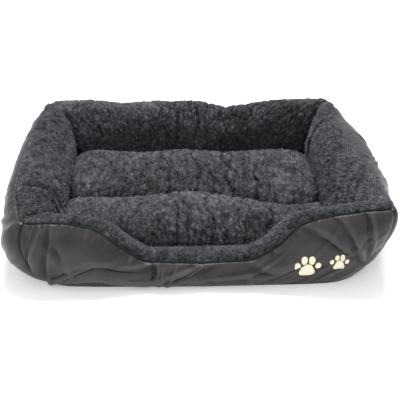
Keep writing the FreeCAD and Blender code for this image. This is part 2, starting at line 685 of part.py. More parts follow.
nodes = walls + [motif, base_panel, floor_wadding, floor_lining, cushion_top, *cushion_fills]
nodes += [cushion_bottom, zip_tapes, zip_coil, zip_stops, slider_body]
os.makedirs("parts", exist_ok=True)
for node in nodes:
    shape = node.Shape
    if shape.isNull() or not shape.isValid() or shape.Volume <= 0:
        raise RuntimeError(f"{node.Label} has no valid solid")
    shape.exportStep(f"parts/{node.Label}.step")
    print(f"{node.Label:22s} {len(shape.Solids):3d} solid(s) {shape.Volume / 1000:10.2f} cm3")
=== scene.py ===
import math

import bpy
import numpy as np
from mathutils import Matrix, Vector
from mathutils.bvhtree import BVHTree


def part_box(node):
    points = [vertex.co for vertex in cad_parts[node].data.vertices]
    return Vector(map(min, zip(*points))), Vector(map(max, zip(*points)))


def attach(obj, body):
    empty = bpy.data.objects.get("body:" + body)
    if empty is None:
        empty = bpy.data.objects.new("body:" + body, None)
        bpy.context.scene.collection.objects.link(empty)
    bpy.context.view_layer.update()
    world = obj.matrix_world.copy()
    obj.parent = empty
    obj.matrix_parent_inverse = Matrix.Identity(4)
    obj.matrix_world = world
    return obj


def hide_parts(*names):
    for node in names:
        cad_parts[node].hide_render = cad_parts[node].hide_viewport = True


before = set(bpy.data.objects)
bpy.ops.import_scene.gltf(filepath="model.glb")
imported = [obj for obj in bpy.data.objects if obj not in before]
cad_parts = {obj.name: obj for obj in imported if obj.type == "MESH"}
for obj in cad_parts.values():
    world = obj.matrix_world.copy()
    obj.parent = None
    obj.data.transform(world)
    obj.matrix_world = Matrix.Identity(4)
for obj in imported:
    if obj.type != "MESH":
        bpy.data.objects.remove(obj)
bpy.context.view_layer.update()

# ------------------------------------------------------------------ the studio
# A pale acrylic floor that runs on under the bed, a high camera in front of the entry, and soft
# overhead and side light as a product studio has it. Nothing here is part of the bed.

scene = bpy.context.scene
scene.view_settings.view_transform = "Standard"


def srgb(hex_code, alpha=1.0):
    """An sRGB hex colour as the linear values that the shaders take."""
    channels = [int(hex_code[i:i + 2], 16) / 255 for i in (1, 3, 5)]
    linear = [c / 12.92 if c <= 0.04045 else ((c + 0.055) / 1.055) ** 2.4 for c in channels]
    return (*linear, alpha)


def add_node(nodes, kind, settings=None, **inputs):
    """Add one shader node, set its properties, and fill or link its inputs by name or by _number."""
    node = nodes.new(kind)
    for name, value in (settings or {}).items():
        setattr(node, name, value)
    for name, value in inputs.items():
        key = int(name[1:]) if name[0] == "_" and name[1:].isdigit() else name.replace("_", " ")
        socket = node.inputs[key]
        if isinstance(value, bpy.types.NodeSocket):
            nodes.id_data.links.new(value, socket)
        else:
            socket.default_value = value
    return node


def new_material(name):
    """An empty node material, with its nodes."""
    material = bpy.data.materials.new(name)
    material.use_nodes = True
    material.node_tree.nodes.clear()
    return material, material.node_tree.nodes


def finish_material(nodes, **sockets):
    """Give a material its one shader, with these values and links on the shader's own sockets."""
    shader = add_node(nodes, "ShaderNodeBsdfPrincipled", **sockets)
    output = add_node(nodes, "ShaderNodeOutputMaterial")
    nodes.id_data.links.new(shader.outputs[0], output.inputs["Surface"])


CAMERA_PITCH, CAMERA_YAW, CAMERA_ROLL = 30.5, 3.3, 1.1
CAMERA_PLACE = (-0.075, -1.535, 0.944)
camera_data = bpy.data.cameras.new("studio_camera")
camera_data.sensor_width = 36
camera_data.lens = 65.9
camera_data.clip_end = 50
camera = bpy.data.objects.new("studio_camera", camera_data)
scene.collection.objects.link(camera)
scene.camera = camera
yawed = Matrix.Rotation(-math.radians(CAMERA_YAW), 4, "Z")
pitched = Matrix.Rotation(math.radians(90 - CAMERA_PITCH), 4, "X")
rolled = Matrix.Rotation(math.radians(CAMERA_ROLL), 4, "Z")
camera.matrix_world = Matrix.Translation(CAMERA_PLACE) @ yawed @ pitched @ rolled

FLOOR_HALF, FLOOR_DROP = 9.0, 0.0006
floor_mesh = bpy.data.meshes.new("studio_floor")
floor_mesh.from_pydata(
    [(x * FLOOR_HALF, y * FLOOR_HALF, -FLOOR_DROP) for x, y in ((-1, -1), (1, -1), (1, 1), (-1, 1))],
    [], [(0, 1, 2, 3)])
studio_floor = bpy.data.objects.new("studio_floor", floor_mesh)
scene.collection.objects.link(studio_floor)
# Matt cast acrylic, lit a little from beneath, which keeps the bed's shadow faint
acrylic, nodes = new_material("backlit_white_acrylic")
finish_material(nodes, Base_Color=srgb("#f8f8f8"), Roughness=0.9, Emission_Color=srgb("#ffffff"),
                Emission_Strength=0.24)
floor_mesh.materials.append(acrylic)

world = bpy.data.worlds.new("studio_world")
scene.world = world
world.use_nodes = True
world.node_tree.nodes["Background"].inputs["Color"].default_value = srgb("#fbfbfb")
world.node_tree.nodes["Background"].inputs["Strength"].default_value = 0.86


def soft_box(name, place, aim, width, height, power):
    """A large rectangular studio light, aimed at a point."""
    light = bpy.data.lights.new(name, "AREA")
    light.shape = "RECTANGLE"
    light.size, light.size_y = width, height
    light.energy = power
    lamp = bpy.data.objects.new(name, light)
    scene.collection.objects.link(lamp)
    lamp.location = place
    lamp.rotation_euler = (Vector(aim) - Vector(place)).to_track_quat("-Z", "Y").to_euler()


soft_box("overhead_box", (0.1, 0.75, 2.3), (0, 0, 0), 1.5, 0.9, 76)
soft_box("front_box", (-0.9, -1.9, 1.5), (0, 0, 0.1), 0.6, 0.6, 9)

# ------------------------------------------------------------------ the sewn ring of four walls
# The walls are one tube of cloth, sewn to the base along its inner and outer feet, seamed at the four
# corners and along the rim, and stuffed with fibre. It is laid out as sewn, then simulated under the
# stuffing's pressure, so it fills out between the seams and puckers where it is slack.

INNER_X, INNER_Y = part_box("right_liner")[0][0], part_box("rear_liner")[0][1]
BASE_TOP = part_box("base_panel")[1][2]
RIM_RADIUS = 0.022
FACE_ROWS, ROLL_ROWS, SIDE_ROWS, SOLE_ROWS = 26, 7, 23, 8    # rows up, over the rim, down and under
COLUMNS = {"rear": 100, "right": 72, "front": 100, "left": 72}   # columns of cloth along each wall
WALLS = tuple(COLUMNS)

# Along each wall, from left to right or from front to rear: share of the half length, rim height,
# reach of the rim from the inner foot, turn of the rim seam below level, and height of the inner kick
RIM = {
    "rear": ((-1, 0.185, 0.074, 0, 0.05), (-0.72, 0.191, 0.070, 5, 0.05), (-0.5, 0.184, 0.069, 5, 0.05),
             (-0.25, 0.189, 0.069, 5, 0.05), (0.05, 0.190, 0.069, 5, 0.05),
             (0.16, 0.181, 0.070, 5, 0.05), (0.25, 0.172, 0.072, 5, 0.05), (0.4, 0.180, 0.071, 5, 0.05),
             (0.62, 0.190, 0.069, 5, 0.05), (0.85, 0.192, 0.070, 0, 0.05), (1, 0.187, 0.077, 0, 0.05)),
    "left": ((-1, 0.150, 0.068, -50, 0.04), (-0.85, 0.152, 0.070, -35, 0.045),
             (-0.5, 0.161, 0.086, -15, 0.05), (0, 0.171, 0.092, -10, 0.05),
             (0.5, 0.179, 0.084, -5, 0.05), (1, 0.185, 0.074, 0, 0.05)),
    "right": ((-1, 0.187, 0.094, -54, 0.05), (-0.6, 0.181, 0.088, -32, 0.05),
              (-0.1, 0.177, 0.075, -15, 0.05), (0.3, 0.177, 0.066, -15, 0.05),
              (0.8, 0.180, 0.065, -5, 0.05), (1, 0.187, 0.077, 0, 0.05)),
    "front": ((-1, 0.150, 0.068, -50, 0.04), (-0.74, 0.154, 0.082, -60, 0.05),
              (-0.56, 0.144, 0.084, -50, 0.045), (-0.43, 0.101, 0.084, -44, 0.03),
              (-0.31, 0.070, 0.085, -38, 0.022), (0, 0.066, 0.086, -36, 0.022),
              (0.29, 0.070, 0.085, -38, 0.022), (0.42, 0.099, 0.084, -42, 0.03),
              (0.53, 0.152, 0.084, -46, 0.045), (0.69, 0.166, 0.084, -56, 0.05),
              (0.9, 0.180, 0.088, -60, 0.05), (1, 0.187, 0.094, -54, 0.05)),
}
# The outer side's widest reach, the share of the seam's height where that is, and its foot's reach
BELLY = {
    "rear": ((-1, 0.106, 0.6, 0.078), (0, 0.106, 0.5, 0.084), (1, 0.108, 0.7, 0.078)),
    "left": ((-1, 0.100, 0.5, 0.078), (-0.65, 0.114, 0.62, 0.078), (-0.3, 0.122, 0.86, 0.078),
             (0.2, 0.122, 0.84, 0.078), (0.7, 0.115, 0.7, 0.078), (1, 0.106, 0.6, 0.078)),
    "right": ((-1, 0.103, 0.7, 0.078), (-0.65, 0.109, 0.8, 0.078), (-0.3, 0.124, 1.0, 0.078),
              (0.4, 0.128, 1.02, 0.078), (1, 0.108, 0.7, 0.078)),
    "front": ((-1, 0.100, 0.5, 0.078), (-0.6, 0.102, 0.5, 0.084), (0, 0.101, 0.45, 0.088),
              (0.6, 0.103, 0.55, 0.086), (1, 0.103, 0.7, 0.078)),
}
BELLY_SPREAD = 0.32           # how far the fullest part reaches up and down, as a share of the height
STATION_SOFTNESS = 0.05       # share of the half length over which stations are smoothed together


def along_wall(stations, share):
    """The stations' values at one share of the wall, smoothed between them."""
    near = np.linspace(-2, 2, 17)
    weights = np.exp(-near ** 2)
    table = np.array(stations)
    spots = np.clip(share + near * STATION_SOFTNESS * (1.02 - abs(share)) ** 0.3, -1, 1)
    return [float((np.interp(spots, table[:, 0], column) * weights).sum() / weights.sum())
            for column in table.T[1:]]


def evenly(points, count):
    """A line of points laid out again at even distances, without its last point."""
    gone = np.r_[0, np.cumsum(np.linalg.norm(np.diff(points, axis=0), axis=1))]
    spots = np.linspace(0, gone[-1], count, endpoint=False)
    return np.stack([np.interp(spots, gone, column) for column in points.T], axis=1)


def wall_section(height, reach, seam_turn, kick, belly, belly_high, foot):
    """The wall's section as points (outwards, up): up the face, over the rim, down the side, under."""
    cx, cz = reach - RIM_RADIUS, height - RIM_RADIUS

    def on_roll(turn):
        """A point of the rim's round roll, at a turn from level."""
        return cx + RIM_RADIUS * math.cos(turn), cz + RIM_RADIUS * math.sin(turn)

    # The face is an arc that runs up from the kick into the roll without a corner
    begin = math.radians(125 + 20 * min(max((height - 0.08) / 0.08, 0), 1))
    px, pz = on_roll(begin)
    rise = pz - kick
    bow = (px ** 2 + rise ** 2) / (2 * (px * math.cos(begin) + rise * math.sin(begin)))
    mx, mz = px - bow * math.cos(begin), pz - bow * math.sin(begin)
    first = math.atan2(kick - mz, -mx) % (2 * math.pi)
    slope = [(mx + bow * math.cos(b), mz + bow * math.sin(b)) for b in np.linspace(first, begin, 40)]
    face = evenly(np.array([(0.0, BASE_TOP), (0.0, kick), *slope]), FACE_ROWS)
    roll = [on_roll(turn) for turn in np.linspace(begin, -math.radians(seam_turn), 30)]
    # The side is a Bezier curve from the seam to the foot, which is as wide as the belly half way down
    qx, qz = roll[-1]
    wide = (belly - 0.125 * (qx + foot)) / 0.75
    pull = np.array([(qx, qz), (wide, qz * min(belly_high + BELLY_SPREAD, 1.0)),
                     (wide, qz * (belly_high - BELLY_SPREAD)), (foot, BASE_TOP)])
    t = np.linspace(0, 1, 60)[:, None]
    side = ((1 - t) ** 3 * pull[0] + 3 * t * (1 - t) ** 2 * pull[1] + 3 * t ** 2 * (1 - t) * pull[2]
            + t ** 3 * pull[3])
    sole = [(x, BASE_TOP) for x in np.linspace(foot, 0.0, SOLE_ROWS, endpoint=False)]
    return np.vstack([face, evenly(np.array(roll), ROLL_ROWS), evenly(side, SIDE_ROWS), sole])


RIM_SEAM_ROW = FACE_ROWS + ROLL_ROWS
FOOT_ROW = RIM_SEAM_ROW + SIDE_ROWS
RING_ROWS = FOOT_ROW + SOLE_ROWS
# Corner radii on plan: at the inner foot, on the rim, round the belly and at the outer foot
ROUNDING = np.interp(np.arange(RING_ROWS),
                     (0, FACE_ROWS, RIM_SEAM_ROW, FOOT_ROW - 10, FOOT_ROW, RING_ROWS - 1),
                     (0.018, 0.017, 0.019, 0.090, 0.120, 0.018))


def on_plan(wall, share, outwards, slip):
    """Places on plan for a share along a wall and distances outwards, round the corners' curves.

    slip moves the places along the wall, in metres.
    """
    hx, hy = INNER_X + outwards, INNER_Y + outwards
    along, across = (hx, hy) if wall in ("rear", "front") else (hy, hx)
    straight = along - ROUNDING
    signed = share * (straight + ROUNDING * math.pi / 4) + slip
    run = np.abs(signed)
    bend = np.clip((run - straight) / ROUNDING, 0, None)
    u = np.sign(signed) * np.where(run < straight, run, straight + ROUNDING * np.sin(bend))
    w = across - ROUNDING + ROUNDING * np.cos(bend)
    return {"rear": (u, w), "front": (u, -w), "left": (-w, u), "right": (w, u)}[wall]


# The front left corner's seam slants, so that at its foot the side's cloth wraps onto the front; the
# slip fades out along half of each half wall
FOOT_SLIP, SLIP_SHARE = 0.042, 0.5
CORNER_SLIP = FOOT_SLIP * np.interp(np.arange(RING_ROWS),
                                    (RIM_SEAM_ROW, FOOT_ROW - 4, FOOT_ROW, RING_ROWS - 1), (0, 1, 1, 0))
SLIP_WAY = {"rear": 0, "right": 0, "front": 1, "left": -1}
# Columns run clockwise from the rear left corner: along the rear, down the right, back along the front
# and up the left side
ring_columns = []
for wall, direction in (("rear", 1), ("right", -1), ("front", -1), ("left", 1)):
    for i in range(COLUMNS[wall]):
        share = direction * (-1 + 2 * i / COLUMNS[wall])
        section = wall_section(*along_wall(RIM[wall], share), *along_wall(BELLY[wall], share))
        slip = SLIP_WAY[wall] * CORNER_SLIP * min(max(1 - (1 + share) / SLIP_SHARE, 0), 1) ** 1.5
        x, y = on_plan(wall, share, section[:, 0], slip)
        ring_columns.append(np.stack([x, y, section[:, 1]], axis=1))
ring = np.array(ring_columns)
RING_COLUMNS = len(ring)
CORNERS = np.cumsum([0] + list(COLUMNS.values()))


def skin(name, points, *faces):
    """A mesh from an array of points and one array of point numbers for each size of face."""
    mesh = bpy.data.meshes.new(name)
    mesh.vertices.add(len(points))
    mesh.vertices.foreach_set("co", np.asarray(points, dtype=np.float32).ravel())
    loops = np.concatenate([f.ravel() for f in faces]).astype(np.int32)
    sizes = np.concatenate([np.full(len(f), f.shape[1]) for f in faces])
    starts = np.concatenate([[0], np.cumsum(sizes)[:-1]]).astype(np.int32)
    mesh.loops.add(len(loops))
    mesh.loops.foreach_set("vertex_index", loops)
    mesh.polygons.add(len(sizes))
    mesh.polygons.foreach_set("loop_start", starts)
    mesh.polygons.foreach_set("use_smooth", np.ones(len(sizes), dtype=bool))
    mesh.update(calc_edges=True)
    mesh.validate()
    return mesh


def grid_quads(index):
    """The quads between the points of a grid."""
    return np.stack([index[:-1, :-1], index[1:, :-1], index[1:, 1:], index[:-1, 1:]], axis=-1).reshape(-1, 4)


def band_quads(index):
    """The quads between rows of points that each run round and close."""
    beside = np.roll(index, -1, axis=1)
    return np.stack([index[:-1], beside[:-1], beside[1:], index[1:]], axis=-1).reshape(-1, 4)


def fan(row, middle):
    """The triangles between a closed row of points and the point in its middle."""
    return np.stack([row, np.roll(row, -1), np.full(len(row), middle)], axis=-1)


def as_piece(mesh, *materials):
    """An object of the mesh's own name, with its materials."""
    for material in materials:
        mesh.materials.append(material)
    piece = bpy.data.objects.new(mesh.name, mesh)
    scene.collection.objects.link(piece)
    return piece


STIFFNESS, BENDING, CLOTH_MASS = 15, 0.2, 0.25


def stuff(mesh, pins, slack, pressure, frames):
    """Fill a closed cloth mesh under pressure and give back where its points come to rest.

    pins holds each point to its sewn place, 1 for fixed; slack is how much larger its cloth is cut.
    """
    form = as_piece(mesh)
    held = form.vertex_groups.new(name="held")
    loose = form.vertex_groups.new(name="loose")
    most = max(slack.max(), 1e-6)
    for i, (pin, spare) in enumerate(zip(pins, slack)):
        held.add([i], float(pin), "REPLACE")
        loose.add([i], float(spare / most), "REPLACE")
    modifier = form.modifiers.new("cloth", "CLOTH")
    cloth = modifier.settings
    cloth.quality = 6
    cloth.mass = CLOTH_MASS
    cloth.tension_stiffness = cloth.compression_stiffness = STIFFNESS
    cloth.shear_stiffness = STIFFNESS / 2
    cloth.bending_stiffness = BENDING
    cloth.tension_damping = cloth.compression_damping = 12
    cloth.air_damping = 2
    cloth.vertex_group_mass = "held"
    cloth.pin_stiffness = 1.0
    cloth.vertex_group_shrink = "loose"
    cloth.shrink_min = 0.0
    cloth.shrink_max = -most
    cloth.use_pressure = True
    cloth.uniform_pressure_force = pressure
    cloth.effector_weights.gravity = 0
    modifier.collision_settings.use_collision = False
    modifier.point_cache.frame_start, modifier.point_cache.frame_end = 1, frames
    for now in range(1, frames + 1):
        scene.frame_set(now)
    graph = bpy.context.evaluated_depsgraph_get()
    result = form.evaluated_get(graph).to_mesh()
    places = np.empty(len(result.vertices) * 3, dtype=np.float32)
    result.vertices.foreach_get("co", places)
    bpy.data.objects.remove(form)
    scene.frame_set(1)
    return places.reshape(-1, 3).astype(float)


def held_within(sewn, filled, give):
    """Where the filled cloth lies, no further than give from where it was sewn."""
    push = filled - sewn
    far = np.linalg.norm(push, axis=-1, keepdims=True)
    return sewn + push * np.minimum(1, give / np.maximum(far, 1e-9))


WALL_GIVE = 0.013             # how far the stuffing may push the cloth from where it was sewn
WALL_PRESSURE, WALL_FRAMES = 2.0, 18
FACE_SLACK, SIDE_SLACK = 0.03, 0.09
pins = np.zeros((RING_COLUMNS, RING_ROWS))
pins[:, FOOT_ROW:] = 1.0
pins[:, :2] = 1.0
pins[:, RIM_SEAM_ROW] = 0.35
for corner in CORNERS[:4]:
    for step, hold in ((0, 0.5), (1, 0.15), (-1, 0.15)):
        column = (corner + step) % RING_COLUMNS
        pins[column] = np.maximum(pins[column], hold)
slack = np.zeros((RING_COLUMNS, RING_ROWS))
slack[:, :RIM_SEAM_ROW] = FACE_SLACK
slack[:, RIM_SEAM_ROW + 1:FOOT_ROW] = SIDE_SLACK
stuffed = ring
index = np.arange(RING_COLUMNS * RING_ROWS).reshape(RING_COLUMNS, RING_ROWS)
beside = np.roll(index, -1, axis=0)
quads = np.stack([index, beside, np.roll(beside, -1, axis=1), np.roll(index, -1, axis=1)], axis=-1)
tube = skin("wall_tube", ring.reshape(-1, 3), quads.reshape(-1, 4))
filled = stuff(tube, pins.ravel(), slack.ravel(), WALL_PRESSURE, WALL_FRAMES)
stuffed = held_within(ring, filled.reshape(ring.shape), WALL_GIVE)
REACH_LIMIT = np.array([0.4315, 0.322, 0.1882])
stuffed = np.clip(stuffed, -REACH_LIMIT, REACH_LIMIT)
# The faces stay clear of the space that the cushion drops into
face_x, face_y = stuffed[:, :RIM_SEAM_ROW, 0], stuffed[:, :RIM_SEAM_ROW, 1]
short_x = np.maximum(INNER_X - np.abs(face_x), 0)
short_y = np.maximum(INNER_Y - np.abs(face_y), 0)
inside = (short_x > 0) & (short_y > 0)
face_x += np.sign(face_x) * short_x * (inside & (short_x <= short_y))
face_y += np.sign(face_y) * short_y * (inside & (short_x > short_y))
stuffed[:, :, 2] = np.maximum(stuffed[:, :, 2], BASE_TOP)
# The right wall's side hangs out fullest, under a rim that is drawn inwards
OVERHANG, OVERHANG_MIDDLE, OVERHANG_SPREAD = 0.014, 0.05, 0.5
right_share = np.linspace(1, -1, COLUMNS["right"], endpoint=False)[:, None]
side_share = np.clip((np.arange(RING_ROWS) - RIM_SEAM_ROW) / SIDE_ROWS, 0, 1)[None]
overhang = OVERHANG * np.exp(-((right_share - OVERHANG_MIDDLE) / OVERHANG_SPREAD) ** 2)
overhang = overhang * np.sin(math.pi * side_share ** 0.7)
right_x = stuffed[int(CORNERS[1]):int(CORNERS[2]), :, 0]
np.minimum(right_x + overhang, REACH_LIMIT[0], out=right_x)


def weights(count, places, closed=True):
    """Weights that read a row of count points smoothly at the places between them."""
    low = np.floor(places).astype(int)
    t = places - low
    taps = (-0.5 * t + t ** 2 - 0.5 * t ** 3, 1 - 2.5 * t ** 2 + 1.5 * t ** 3,
            0.5 * t + 2 * t ** 2 - 1.5 * t ** 3, -0.5 * t ** 2 + 0.5 * t ** 3)
    table = np.zeros((len(places), count))
    for step, tap in enumerate(taps, start=-1):
        at = (low + step) % count if closed else np.clip(low + step, 0, count - 1)
        np.add.at(table, (np.arange(len(places)), at), tap)
    return table


def cut(start, stop, top, bottom, spacing):
    """A fine grid of cloth points between two columns and two rows of the stuffed ring."""
    rough = stuffed[np.arange(start, stop + 1) % RING_COLUMNS][:, top:bottom + 1]
    length = np.linalg.norm(np.diff(rough, axis=0), axis=2).sum(axis=0).max()
    width = np.linalg.norm(np.diff(rough, axis=1), axis=2).sum(axis=1).max()
    across = np.linspace(start, stop, max(int(length / spacing), 4))
    down = np.linspace(top, bottom, max(int(width / spacing), 4))
    by_row = np.einsum("ai,ijc->ajc", weights(RING_COLUMNS, across), stuffed)
    return np.einsum("bj,ajc->abc", weights(RING_ROWS, down), by_row)


def facing(grid):
    """The outward direction at each point of a grid."""
    out = np.cross(np.gradient(grid, axis=0), np.gradient(grid, axis=1))
    return out / np.maximum(np.linalg.norm(out, axis=2, keepdims=True), 1e-12)


def measured(grid):
    """How far each point of a grid lies along its row and down its column, in metres."""
    across = np.linalg.norm(np.diff(grid, axis=0), axis=2)
    down = np.linalg.norm(np.diff(grid, axis=1), axis=2)
    return (np.vstack([np.zeros((1, grid.shape[1])), np.cumsum(across, axis=0)]),
            np.hstack([np.zeros((grid.shape[0], 1)), np.cumsum(down, axis=1)]))


def cloth_piece(name, face, back, material, tips=None, shade=None):
    """A piece of cloth as a closed skin: its face, its back and the cut edge, with its two UV maps.

    The face's quads rise to tips where these are given; shade is the painted light and shade for each point
    of the face.
    """
    nu, nv = face.shape[:2]
    index = np.arange(nu * nv).reshape(nu, nv)
    quads = grid_quads(index)
    rim = np.concatenate([index[:, 0], index[-1, 1:], index[-2::-1, -1], index[0, -2:0:-1]])
    after = np.roll(rim, -1)
    edge = np.stack([after, rim, rim + nu * nv, after + nu * nv], axis=-1)
    points = [face.reshape(-1, 3), back.reshape(-1, 3)]
    u, v = np.meshgrid(np.linspace(0.002, 0.998, nu), np.linspace(0, 1, nv), indexing="ij")
    maps = [np.stack([u, 0.002 + 0.738 * v], axis=2), np.stack([u, 0.80 + 0.198 * v], axis=2)]
    along, down = measured(face)
    cloths = [np.stack([along, down], axis=2)] * 2
    shades = [np.zeros(nu * nv) if shade is None else shade.ravel(), np.zeros(nu * nv)]
    faces = [quads[:, ::-1] + nu * nv, edge]
    if tips is None:
        faces.insert(0, quads)
    else:
        first = 2 * nu * nv
        tip = first + np.arange(len(quads))
        faces.insert(0, np.concatenate([np.stack([quads[:, k], quads[:, (k + 1) % 4], tip], axis=-1)
                                        for k in range(4)]))
        points.append(tips[0].reshape(-1, 3))
        shades.append(tips[1].ravel())
        for maps_of in (maps, cloths):
            m = maps_of[0]
            maps_of.append((m[:-1, :-1] + m[1:, :-1] + m[1:, 1:] + m[:-1, 1:]) / 4)
    mesh = skin(name, np.vstack(points), *faces)
    at_point = [np.vstack([m.reshape(-1, 2) for m in group]) for group in (maps, cloths)]
    loops = np.concatenate([f.ravel() for f in faces])
    bake = at_point[0][loops]
    share = np.linspace(0.002, 0.998, len(rim) + 1)
    strip = np.stack([np.stack([share[1:], share[:-1], share[:-1], share[1:]], axis=1),
                      np.tile((0.75, 0.75, 0.79, 0.79), (len(rim), 1))], axis=2)
    bake[-edge.size:] = strip.reshape(-1, 2)
    for title, values in (("OFBake", bake), ("cloth", at_point[1][loops])):
        layer = mesh.uv_layers.new(name=title, do_init=False)
        layer.uv.foreach_set("vector", values.astype(np.float32).ravel())
    # The pile attribute carries the painted light and shade to the materials
    pile = mesh.attributes.new("pile", "FLOAT", "POINT")
    pile.data.foreach_set("value", np.concatenate(shades).astype(np.float32))
    return as_piece(mesh, material)


# ------------------------------------------------------------------ the plush wall liners
# Four pieces of short, dense polyester plush, one up the inner face and over the rim of each wall, sewn
# to each other down the inner corners. The pile stands about 6 mm and falls into tufts; it parts
# along the seams and where the folded walls were pressed together.

PILE_LENGTH = 0.0058
PILE_SPACING = 0.0026         # between drawn tips, each of which stands for a lock of finer fibres
TUFT_TIPS = (2.7, 4.6)        # tips across and along one tuft, which lies with the nap
TUFT_REACH = 0.85             # how far a tuft's dome reaches from its middle, in tufts
TUFT_TALL, TUFT_LEAN = (0.55, 1.15), 0.45
MATTED, DOMED = 0.25, 0.45    # shares of the pile's length in the closed face: all over, and in each tuft
TIP_GROWN, TIP_LONGEST, TIP_STRAY = (0.10, 0.75), 0.6, 0.6
# Painted shade and light on the pile: deep between the tufts, lighter up each tuft's dome, darker in the
# pressed streaks and lighter on each tip, with a random mottle over the tips
DEEP_SHADE, TUFT_SHADE, PRESSED_SHADE = 0.06, 0.48, 0.75
TIP_PAINTED_LIGHT, TIP_MOTTLE = 0.15, 0.38
BACKING = 0.0025              # thickness of the knitted ground


def plush_material():
    """Brushed polyester plush, knitted and sheared: matt, with painted shade deep between the tufts and
    painted light on their tips.
    """
    material, nodes = new_material("brushed_polyester_plush")
    pile = add_node(nodes, "ShaderNodeAttribute", {"attribute_name": "pile"})
    place = add_node(nodes, "ShaderNodeTexCoord")
    nap = add_node(nodes, "ShaderNodeTexNoise", Vector=place.outputs["Object"], Scale=22.0, Detail=3.0,
                   Roughness=0.6)                      # patches of nap about 45 mm across
    locks = add_node(nodes, "ShaderNodeTexNoise", Vector=place.outputs["Object"], Scale=190.0, Detail=2.0)
    lit = add_node(nodes, "ShaderNodeMath", {"operation": "MULTIPLY_ADD"}, _0=nap.outputs["Fac"], _1=0.9,
                   _2=-0.45)
    lit = add_node(nodes, "ShaderNodeMath", {"operation": "ADD"}, _0=pile.outputs["Fac"], _1=lit.outputs[0])
    mottle = add_node(nodes, "ShaderNodeMath", {"operation": "MULTIPLY_ADD"}, _0=locks.outputs["Fac"], _1=0.6,
                      _2=-0.30)
    lit = add_node(nodes, "ShaderNodeMath", {"operation": "ADD", "use_clamp": True}, _0=lit.outputs[0],
                   _1=mottle.outputs[0])
    ramp = add_node(nodes, "ShaderNodeValToRGB", Fac=lit.outputs[0])
    ramp.color_ramp.elements[0].color = srgb("#101011")
    ramp.color_ramp.elements[1].color = srgb("#66696f")
    ramp.color_ramp.elements.new(0.45).color = srgb("#393a3d")
    finish_material(nodes, Base_Color=ramp.outputs["Color"], Roughness=0.92, Specular_IOR_Level=0.2,
                    Sheen_Weight=0.25, Sheen_Roughness=0.5, Sheen_Tint=srgb("#b9bfc8"))
    return material


plush = plush_material()


def tufted(cloth, seed, length, comb, parted, painted_light_and_shade):
    """Pile over a grid of cloth: the face points, the tips with their shade, and the face's shade.

    The last argument is painted light and shade: how much lighter the pile is painted there.
    """
    rng = np.random.default_rng(seed)
    nu, nv = cloth.shape[:2]
    out = facing(cloth)
    i, j = np.meshgrid(np.arange(nu) / TUFT_TIPS[0], np.arange(nv) / TUFT_TIPS[1], indexing="ij")
    cells = (int(i.max()) + 4, int(j.max()) + 4)
    centre = rng.uniform(0.0, 1.0, (2, *cells))
    tall = rng.uniform(*TUFT_TALL, cells)
    lean = rng.normal(0.0, TUFT_LEAN, (2, *cells))
    nearest = np.full((nu, nv), 9.0)
    high, lean_u, lean_v = np.zeros((3, nu, nv))
    for step_i in (0, 1, 2):
        for step_j in (0, 1, 2):
            ci, cj = i.astype(int) + step_i, j.astype(int) + step_j
            gap = np.hypot(ci - 1 + centre[0, ci, cj] - i, cj - 1 + centre[1, ci, cj] - j)
            closer = gap < nearest
            nearest = np.where(closer, gap, nearest)
            high = np.where(closer, tall[ci, cj], high)
            lean_u = np.where(closer, lean[0, ci, cj] + comb[0], lean_u)
            lean_v = np.where(closer, lean[1, ci, cj] + comb[1], lean_v)
    dome = np.clip(1 - (nearest / TUFT_REACH) ** 2, 0, 1)
    ways = [np.gradient(cloth, axis=k) for k in (0, 1)]
    ways = [w / np.maximum(np.linalg.norm(w, axis=2, keepdims=True), 1e-12) for w in ways]
    drift = lean_u[..., None] * ways[0] + lean_v[..., None] * ways[1]
    rise = (length * (MATTED + DOMED * dome * high))[..., None]
    face = cloth + out * rise + drift * rise * 0.6
    middle = (face[:-1, :-1] + face[1:, :-1] + face[1:, 1:] + face[:-1, 1:]) / 4
    quads = (nu - 1, nv - 1)
    grown = rng.uniform(*TIP_GROWN, quads) + TIP_LONGEST * rng.uniform(0, 1, quads) ** 9
    long = length[:-1, :-1] * grown
    stray = rng.normal(0.0, TIP_STRAY, (2, *quads, 1))
    side = drift[:-1, :-1] + stray[0] * ways[0][:-1, :-1] + stray[1] * ways[1][:-1, :-1]
    tips = middle + (out[:-1, :-1] + 0.8 * side) * long[..., None]
    # Painted shade: dark between the tufts and in the pressed streaks, lighter on the tufts' domes and
    # lighter still on the tips
    shade = DEEP_SHADE + TUFT_SHADE * dome * high + painted_light_and_shade - PRESSED_SHADE * parted
    tip_shade = shade[:-1, :-1] + TIP_PAINTED_LIGHT + rng.uniform(-TIP_MOTTLE, TIP_MOTTLE, quads)
    return face, (tips, tip_shade), shade


CORNER_SINK = 0.009           # how deep the corner seams draw the cloth in
PRESSED_DEPTH = 0.0085
PRESSED_WALL_PAINTED_LIGHT = 0.10        # painted light over a whole wall, in step with how much of it is pressed
PILE_TOP = 0.1948             # no lock of pile stands higher than this
PRESSED_FOLDS = (-0.062, -0.041, -0.012, 0.012, 0.040, 0.054, 0.083, 0.101, 0.126, 0.150)   # along X


def pressed(x, drift, width):
    """How far the pile is pressed in, from 0 to 1, where the bed was folded in the middle for packing."""
    sunk = np.zeros_like(x)
    for k, fold in enumerate(PRESSED_FOLDS):
        wander = 0.006 * np.sin(drift * (38 + 7 * k) + 1.7 * k)
        sunk += (0.55 + 0.45 * math.sin(2.1 * k + 1)) * np.exp(-((x - fold - wander) / width) ** 2)
    return np.clip(sunk, 0, 1)


